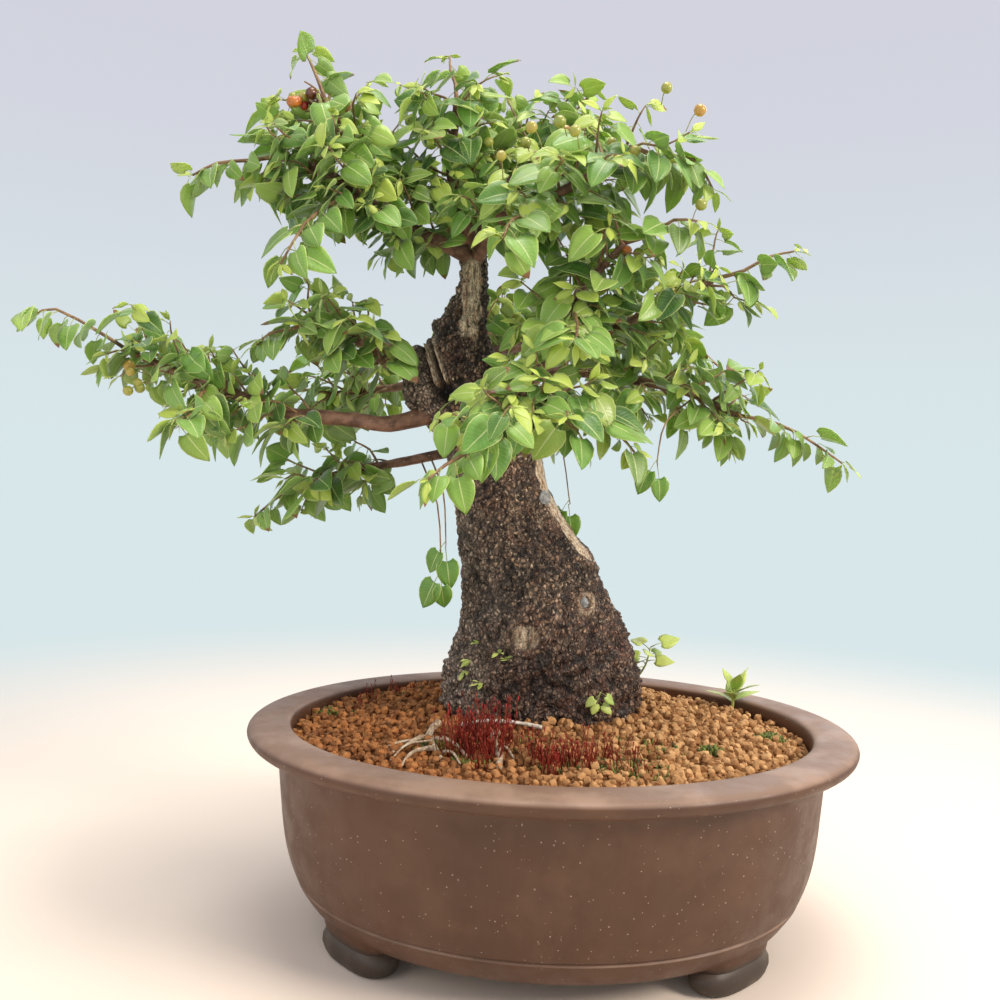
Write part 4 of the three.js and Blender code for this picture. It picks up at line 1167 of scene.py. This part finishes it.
def makeSoil():
    granules = makeGranules("bakedClayGrains")
    bed = frame["nodes"]["soil"]
    bed.data.materials.clear()
    bed.data.materials.append(makeGranules("packedClay"))
    dice = random.Random(31)
    shapes = [grainShape(dice) for _ in range(soilValues["shapes"])]
    pitch = soilValues["pitch"]
    columns = int(potHalfLength / pitch)
    rows = int(potHalfDepth / pitch)
    halves = {"left": newBuild("tint"), "right": newBuild("tint")}
    count = 0
    for row in range(-rows, rows + 1):
        batches = {"left": newBuild("tint"), "right": newBuild("tint")}
        for column in range(-columns, columns + 1):
            x = (column + 0.5 * (row % 2) + dice.uniform(-0.34, 0.34)) * pitch
            y = (row + dice.uniform(-0.34, 0.34)) * pitch
            angle = math.atan2(y / potHalfDepth, x / potHalfLength)
            edge = ovalPoint(35, angle)
            ground = soilUnder(x, y)
            if ground is None or math.hypot(x, y) > edge.length:
                continue
            layers = 2 if dice.random() < soilValues["upperShare"] else 1
            for layer in range(layers):
                width = dice.uniform(*soilValues["grain"]) * mm
                shift = strewn(dice, 1, 0) * pitch * 0.3 * layer * mm
                lift = up * (0.3 + layer * 3.1 + dice.uniform(-0.5, 0.6)) * mm
                turn = dice.uniform(0, 6.3)
                spin = Matrix.Rotation(turn, 4, Vector((dice.random(), dice.random(), 1)).normalized())
                deep = width * dice.uniform(0.8, 1)
                grown = Matrix.Diagonal((width, deep, width * dice.uniform(0.7, 1), 1))
                matrix = Matrix.Translation(ground + shift + lift) @ spin @ grown
                half = "left" if x < 0 else "right"
                addCopy(batches[half], dice.choice(shapes), matrix, tint=dice.random())
                count += 1
        for half, batch in batches.items():
            mesh = toMesh(batch, "row")
            halves[half].from_mesh(mesh)
            bpy.data.meshes.remove(mesh)
    for half, build in halves.items():
        finishPiece(build, "clay_grains_" + half, granules, creases=55)
    print("soil made:", count, "grains")


makeSoil()

# Moss

mossValues = {
    # middle x and y, half-widths, stalks, tallest stalk, in millimetres
    "moss_front_left": [(-46, -84, 20, 25, 210, 40), (-44, -56, 10, 8, 26, 30)],
    "moss_front_right": [(8, -98, 26, 14, 150, 30), (52, -96, 34, 18, 64, 22), (-10, -72, 22, 12, 34, 15)],
    "moss_back": [(-128, 84, 40, 12, 34, 22), (-150, 40, 14, 20, 14, 17), (70, -60, 30, 20, 10, 12)],
    "stalkRadius": 0.34,
    "matGap": 1.7,
    # middle x and y, reach and count
    "cushions": [(-75, -72, 14, 130), (163, 1, 12, 90), (-172, 28, 10, 60), (112, -50, 9, 50)],
}


def makeMossTone(name, low, high, speck):
    look = newLook(name, 0.6)
    look.tone = look.mix(look.layer("tint"), low, high)
    fine = look.noise(800, 3)
    look.lay(look.fit(fine, 0.5, 0.8, 0, 0.6), speck)
    return look.finish(None, (fine, 0.4, 0.0003))


redStalk = makeMossTone("mossStalks", "6d140c", "a53219", "44120a")
mossGreen = makeMossTone("mossMat", "3f4a1c", "7b8a34", "5b3a1f")


# A place on the soil, by an angle and how far out in an oval round x and y; nothing under the trunk.
def soilRound(x, y, wide, deep, angle, out):
    return soilUnder(x + wide * out * math.cos(angle), y + deep * out * math.sin(angle))


def makeMoss(name, replaced=()):
    tufts = mossValues[name]
    dice = random.Random(len(name) + len(tufts))
    stalks = newBuild("tint")
    mats = newBuild("tint")
    radius = mossValues["stalkRadius"] * mm
    stalkRadii = [radius, radius * 0.85, radius * 0.7, radius * 1.9, radius * 0.8]
    for x, y, wide, deep, count, tallest in tufts:
        clumps = []
        for _ in range(count // 9 + 2):
            clumps.append((dice.uniform(0, math.tau), dice.random() ** 0.6, dice.uniform(0.5, 1.0)))
        for i in range(count):
            angle, out, share = clumps[i % len(clumps)]
            spotX = x + wide * out * math.cos(angle) + dice.gauss(0, 3.2)
            spotY = y + deep * out * math.sin(angle) + dice.gauss(0, 2.6)
            foot = soilUnder(spotX, spotY)
            if foot is None:
                continue
            tall = tallest * share * dice.uniform(0.4, 1.0) * mm
            lean = strewn(dice, 0.24, 1) * tall
            nod = strewn(dice, 0.14, 0) * tall
            path = [foot, foot + lean * 0.5 + nod, foot + lean * 0.88, foot + lean * 0.94, foot + lean]
            setLayers(stalks, growTube(stalks, path, stalkRadii, 3), tint=dice.random())
        for i in range(int(wide * deep / mossValues["matGap"] * (0.5 if count > 60 else 0.14))):
            angle = dice.uniform(0, math.tau)
            foot = soilRound(x, y, wide, deep, angle, dice.random() ** 0.5 * 0.85)
            if foot is None:
                continue
            tall = dice.uniform(2.4, 5.2) * mm
            tip = foot + strewn(dice, 0.5, 1) * tall
            made = growTube(mats, [foot, foot.lerp(tip, 0.5), tip], [1.3 * mm, 1.0 * mm, 0.15 * mm], 3)
            setLayers(mats, made, tint=dice.random())
    faceOut(stalks)
    faceOut(mats)
    finishPiece(stalks, name + "_stalks", redStalk, replaced)
    finishPiece(mats, name + "_mat", mossGreen)


makeMoss("moss_front_left", ["moss_front_left"])
makeMoss("moss_front_right", ["moss_front_right"])
makeMoss("moss_back")


# Low green cushions with hardly a stalk
def makeCushions():
    dice = random.Random(8)
    build = newBuild("tint")
    for x, y, reach, count in mossValues["cushions"]:
        for _ in range(count):
            angle = dice.uniform(0, math.tau)
            out = dice.random() ** 0.5
            foot = soilRound(x, y, reach, reach * 0.7, angle, out)
            if foot is None:
                continue
            foot += up * (3.4 * (1 - out * out)) * mm
            tip = foot + strewn(dice, 0.8, 1) * dice.uniform(2, 3.6) * mm
            path = [foot - up * 2 * mm, foot.lerp(tip, 0.5), tip]
            made = growTube(build, path, [1.5 * mm, 1.1 * mm, 0.2 * mm], 3)
            setLayers(build, made, tint=dice.random())
    faceOut(build)
    finishPiece(build, "moss_cushions", mossGreen)


makeCushions()
print("moss made")

# Old roots, the dry stick and the sealed cuts


def makePaleWood(name, dark, light):
    look = newLook(name, 0.85)
    streak = look.noise(260, 5, 0.7, 0.6)
    fine = look.noise(1100, 4)
    look.tone = look.mix(look.fit(streak, 0.34, 0.68), dark, light)
    look.lay(look.use(patches, 110.0, 0.5, 0.72), "6d5138", 0.6)
    return look.finish(look.rough(fine, 0.72, 0.92), (streak, 0.5, 0.0006), (fine, 0.4, 0.0003))


# Each root is its two end radii and its points: x and y from the pot's middle, and height above the soil.
rootValues = {
    "dead_root_left": [
        ((2.4, 1.3), [(-78, -34, 3), (-80, -46, 5), (-81, -58, 3.4), (-74, -80, 4), (-66, -100, 2.4)]),
        ((1.7, 0.8), [(-80, -56, 3), (-87, -66, 6), (-94, -75, 5), (-106, -85, 1.5)]),
        ((1.5, 0.7), [(-74, -80, 4), (-82, -88, 6.5), (-89, -93, 5), (-93, -107, 1.5)]),
        ((1.5, 0.8), [(-80, -64, 3), (-69, -73, 7), (-60, -81, 6), (-51, -92, 2)]),
        ((1.0, 0.5), [(-72, -86, 3), (-62, -92, 6), (-55, -101, 2)]),
        ((0.9, 0.5), [(-84, -62, 4), (-100, -68, 5), (-112, -72, 2)]),
        ((0.8, 0.4), [(-78, -70, 5), (-92, -82, 8), (-101, -96, 3)]),
    ],
    "dead_root_front": [
        ((2.8, 1.9), [(-35, -58, 3), (-36, -66, 6.5), (-35, -76, 5.5), (-31, -90, 3.4), (-30, -106, 2)]),
        ((1.0, 0.5), [(-34, -80, 4), (-27, -86, 6), (-20, -96, 2)]),
    ],
}
stickValues = {
    "radius": 1.35,
    "points": [(-62, -46, 5), (-47, -49, 7.5), (-33, -51, 8), (-18, -52, 7), (-4, -52, 5)],
}


def makeDeadwood():
    pale = makePaleWood("paleRootWood", "96795a", "dccbb0")
    bleached = makePaleWood("bleachedStick", "bdb1a0", "efe8dc")
    for name, branches in rootValues.items():
        build = bmesh.new()
        for (thick, thin), points in branches:
            path = smoothPath([onSoil(*point) for point in points], 5)
            radii = []
            for i, place in enumerate(path):
                knob = 1 + 0.3 * noise.noise(place / (5 * mm))
                radii.append((thick + (thin - thick) * i / (len(path) - 1)) * knob * 1.2 * mm)
            growTube(build, path, radii, 9)
        faceOut(build)
        finishPiece(build, name + "_wood", pale, [name])
    build = bmesh.new()
    path = smoothPath([onSoil(*point) for point in stickValues["points"]], 6)
    knots = [1 + 0.22 * noise.noise(place / (6 * mm)) for place in path]
    growTube(build, path, [stickValues["radius"] * knot * mm for knot in knots], 8)
    faceOut(build)
    finishPiece(build, "dry_stick_wood", bleached, ["dry_stick"])


makeDeadwood()


def makePaste():
    look = newLook("woundPaste", 0.75)
    lumps = look.noise(240, 5)
    fine = look.noise(1200, 3)
    look.tone = look.mix(look.fit(lumps, 0.35, 0.65), "70706e", "a5a6a4")
    look.lay(look.use(patches, 140.0, 0.52, 0.68), "5f544c", 0.6)
    return look.finish(look.rough(fine, 0.55, 0.85), (lumps, 0.6, 0.0012), (fine, 0.3, 0.0003))


def makeSeals():
    material = makePaste()
    for name in ("wound_seal_upper", "wound_seal_lower"):
        low, high, middle = boxMiddle(name)
        spot, normal, _, _ = trunkTree.find_nearest(middle)
        normal = (normal + Vector((0, -0.6, 0))).normalized()
        build = bmesh.new()
        bmesh.ops.create_uvsphere(build, u_segments=28, v_segments=16, radius=1)
        width = (high.z - low.z) / 2
        for vert in build.verts:
            flat = math.hypot(vert.co.x, vert.co.y)
            rim = ridge(flat - 0.86, 0.12)
            ragged = 1 + 0.12 * noise.noise(vert.co * 2.4 + middle * 90)
            bulge = vert.co.z * (2.2 + 0.9 * rim + 0.5 * noise.noise(vert.co * 4)) * mm
            vert.co = Vector((vert.co.x * width * 0.86 * ragged, vert.co.y * width * 1.05 * ragged, bulge))
        place = Matrix.Translation(spot + normal * 0.4 * mm) @ aimed(normal)
        bmesh.ops.transform(build, matrix=place, verts=build.verts)
        faceOut(build)
        finishPiece(build, name + "_paste", material, [name])


makeSeals()
print("old wood and seals made")

# Small plants

# Per plant: leaf shapes, leaves, how far they stand up, their sizes, and the stem's radius and lean in
# millimetres.
plantValues = {
    "seedling": (lanceShapes, 10, 2.0, (0.62, 1.0), 1.5, (2, -2)),
    "sucker_right": (roundShapes, 8, 0.35, (0.7, 1.1), 0.9, (12, -5)),
    "sucker_front": (roundShapes, 4, 0.3, (0.45, 0.75), 0.8, (7, -9)),
}


def makeSmallPlants():
    for seed, (name, values) in enumerate(plantValues.items()):
        shapes, count, lift, sizes, girth, (leanX, leanY) = values
        upright = name == "seedling"
        dice = random.Random(seed + 71)
        low, high, middle = boxMiddle(name)
        foot = Vector((middle.x, middle.y, low.z))
        if not upright:
            foot, _, _, _ = trunkTree.find_nearest(Vector((low.x, high.y, low.z)))
        top = Vector((foot.x + leanX * mm, foot.y + leanY * mm, low.z + (high.z - low.z) * 0.78))
        middle = foot.lerp(top, 0.5) + Vector((leanX * 0.2 * mm, leanY * 0.2 * mm, 0))
        path = smoothPath([foot, middle, top], 4)
        build = newBuild(*leafLayers)
        radii = [girth * (1 - 0.4 * i / (len(path) - 1)) * mm for i in range(len(path))]
        setLayers(build, growTube(build, path, radii, 7), along=-1.0)
        for i in range(count):
            spot, _ = pointAlong(path, 1.0 - 0.62 * (i / count) ** (0.6 if upright else 1))
            angle = i * 2.4 + dice.uniform(-0.3, 0.3)
            rise = lift * (1.5 - i / count) + dice.uniform(-0.15, 0.15)
            along = Vector((math.cos(angle), math.sin(angle), rise)).normalized()
            if name == "sucker_front":
                along = Vector((math.cos(angle), -0.3, -0.5)).normalized()
            matrix = leafAt(spot, along, up if upright else Vector((0.2, -1, 0.7)), dice.uniform(*sizes))
            shape = dice.choice(shapes)
            addCopy(build, shape, matrix, tint=dice.random(), young=dice.uniform(0, 0.7), worn=0.0)
        faceOut(build)
        finishPiece(build, name + "_plant", youngGreen, [name])


makeSmallPlants()

sproutPlaces = [(-52, 56), (-62, 36), (-29, 48), (-48, 30), (-57, 44), (-36, 52)]


# Tiny tufts of young leaves low on the left of the trunk
def makeSprouts():
    dice = random.Random(44)
    build = newBuild(*leafLayers)
    for x, height in sproutPlaces:
        spot, normal, _, _ = trunkTree.ray_cast(fromRim(x, -200, height), Vector((0, 1, 0)))
        if spot is None:
            continue
        for _ in range(4):
            along = (normal + Vector((dice.uniform(-0.9, 0.9), -0.2, dice.uniform(-0.2, 1.0)))).normalized()
            matrix = leafAt(spot, along, up, dice.uniform(0.28, 0.5))
            shape = dice.choice(budShapes)
            addCopy(build, shape, matrix, tint=dice.random(), young=dice.uniform(0.3, 1.0), worn=0.0)
    finishPiece(build, "base_sprouts", youngGreen)


makeSprouts()

# Berries

berryValues = {
    "radius": 4.1,
    # ripeness from green (0) through orange to black (1)
    "berries_upper_left": (1.0, 0.72, 0.55, 0.5, 0.45, 0.2, 0.1, 0.9),
    "berries_left_low": (0.1, 0.16, 0.25, 0.2, 0.3),
    "berries_crown": (
        0.12, 0.3, 0.2, 0.15, 0.05, 0.3, 0.1, 0.18, 0.32, 0.06, 0.22, 0.1, 0.16, 0.45, 0.3, 0.2, 0.25, 0.12,
        0.3, 0.2,
    ),
}


def makeBerrySkin():
    look = newLook("berrySkin", 0.3, Coat_Weight=0.25, Subsurface_Weight=0.1, Subsurface_Scale=0.002)
    ripe = look.layer("ripe")
    ramp = look.add("ShaderNodeValToRGB", {"Fac": ripe})[0].node
    stops = ((0.0, "7f9138"), (0.2, "a3a044"), (0.45, "c8742c"), (0.7, "a3201a"), (0.95, "1d1013"))
    elements = ramp.color_ramp.elements
    elements[1].position = stops[-1][0]
    elements[0].color = colour(stops[0][1])
    elements[1].color = colour(stops[-1][1])
    for position, tone in stops[1:-1]:
        elements.new(position).color = colour(tone)
    look.tone = ramp.outputs[0]
    look.lay(look.use(patches, 160.0, 0.45, 0.65), "b98a45", 0.25)
    look.lay(look.calc("LESS_THAN", ripe, -0.5), "8f8a4b")
    fine = look.noise(900, 3)
    return look.finish(look.rough(fine, 0.24, 0.38), (fine, 0.1, 0.0003))


def makeBerries():
    skin = makeBerrySkin()
    fruit = newBuild("ripe")
    bmesh.ops.create_icosphere(fruit, subdivisions=2, radius=berryValues["radius"] * mm)
    for vert in fruit.verts:
        vert.co.z *= 1 - 0.2 * ridge(math.hypot(vert.co.x, vert.co.y), 1.3 * mm)
    berryMesh = toMesh(fruit, "berry")
    dice = random.Random(19)
    crown = []
    for place in leafMiddles:
        x, y, height = toRim(place)
        if height > 270 and y < 20 and x > -60:
            crown.append(place)
    for name in ("berries_upper_left", "berries_left_low", "berries_crown"):
        build = newBuild("ripe")
        for i, ripe in enumerate(berryValues[name]):
            if name == "berries_crown":
                root = dice.choice(crown)
                middle = root + Vector((dice.uniform(-8, 8), dice.uniform(-16, -8), dice.uniform(4, 14))) * mm
            else:
                low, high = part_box(name)
                share = Vector((dice.uniform(0.0, 0.9), dice.uniform(-0.2, 0.35), dice.uniform(0.05, 0.98)))
                middle = Vector([low[k] + (high[k] - low[k]) * share[k] for k in range(3)])
                root = Vector((high.x, high.y, (low.z + high.z) / 2))
            bow = up * 3 * mm
            stalk = smoothPath([root, root.lerp(middle, 0.5) + bow, middle], 3)
            setLayers(build, growTube(build, stalk, [0.4 * mm] * len(stalk), 4), ripe=-1.0)
            tip = aimed(middle - root)
            size = dice.uniform(0.82, 1.05)
            addCopy(build, berryMesh, Matrix.Translation(middle) @ tip @ Matrix.Scale(size, 4), ripe=ripe)
        faceOut(build)
        replaced = [] if name == "berries_crown" else [name]
        finishPiece(build, name + "_fruit", skin, replaced)


makeBerries()
print("small plants and berries made")

# Drainage screens and their clips keep their shape and get their finish


def dressDrainage():
    plastic = newLook("screenPlastic", 0.55)
    weave = plastic.noise(700, 3)
    dusty = plastic.use(patches, 90.0, 0.45, 0.7)
    plastic.tone = plastic.mix(plastic.times(dusty, 0.4), "1f2422", "6b5040")
    wire = newLook("clipWire", 0.4, Metallic=1.0)
    drawn = wire.noise(1200, 4)
    wire.tone = wire.mix(wire.use(patches, 200.0, 0.45, 0.65), "b4b7ba", "7f7a72")
    finishes = {
        "drain_screen_": plastic.finish(plastic.rough(weave, 0.45, 0.65), (weave, 0.25, 0.0003)),
        "screen_clip_": wire.finish(wire.rough(drawn, 0.3, 0.55), (drawn, 0.2, 0.0002)),
    }
    for node, material in finishes.items():
        for side in ("left", "right"):
            slots = frame["nodes"][node + side].data.materials
            slots.clear()
            slots.append(material)


dressDrainage()
for mesh in leafShapes + budShapes + lanceShapes + roundShapes:
    bpy.data.meshes.remove(mesh)
print("drainage dressed")
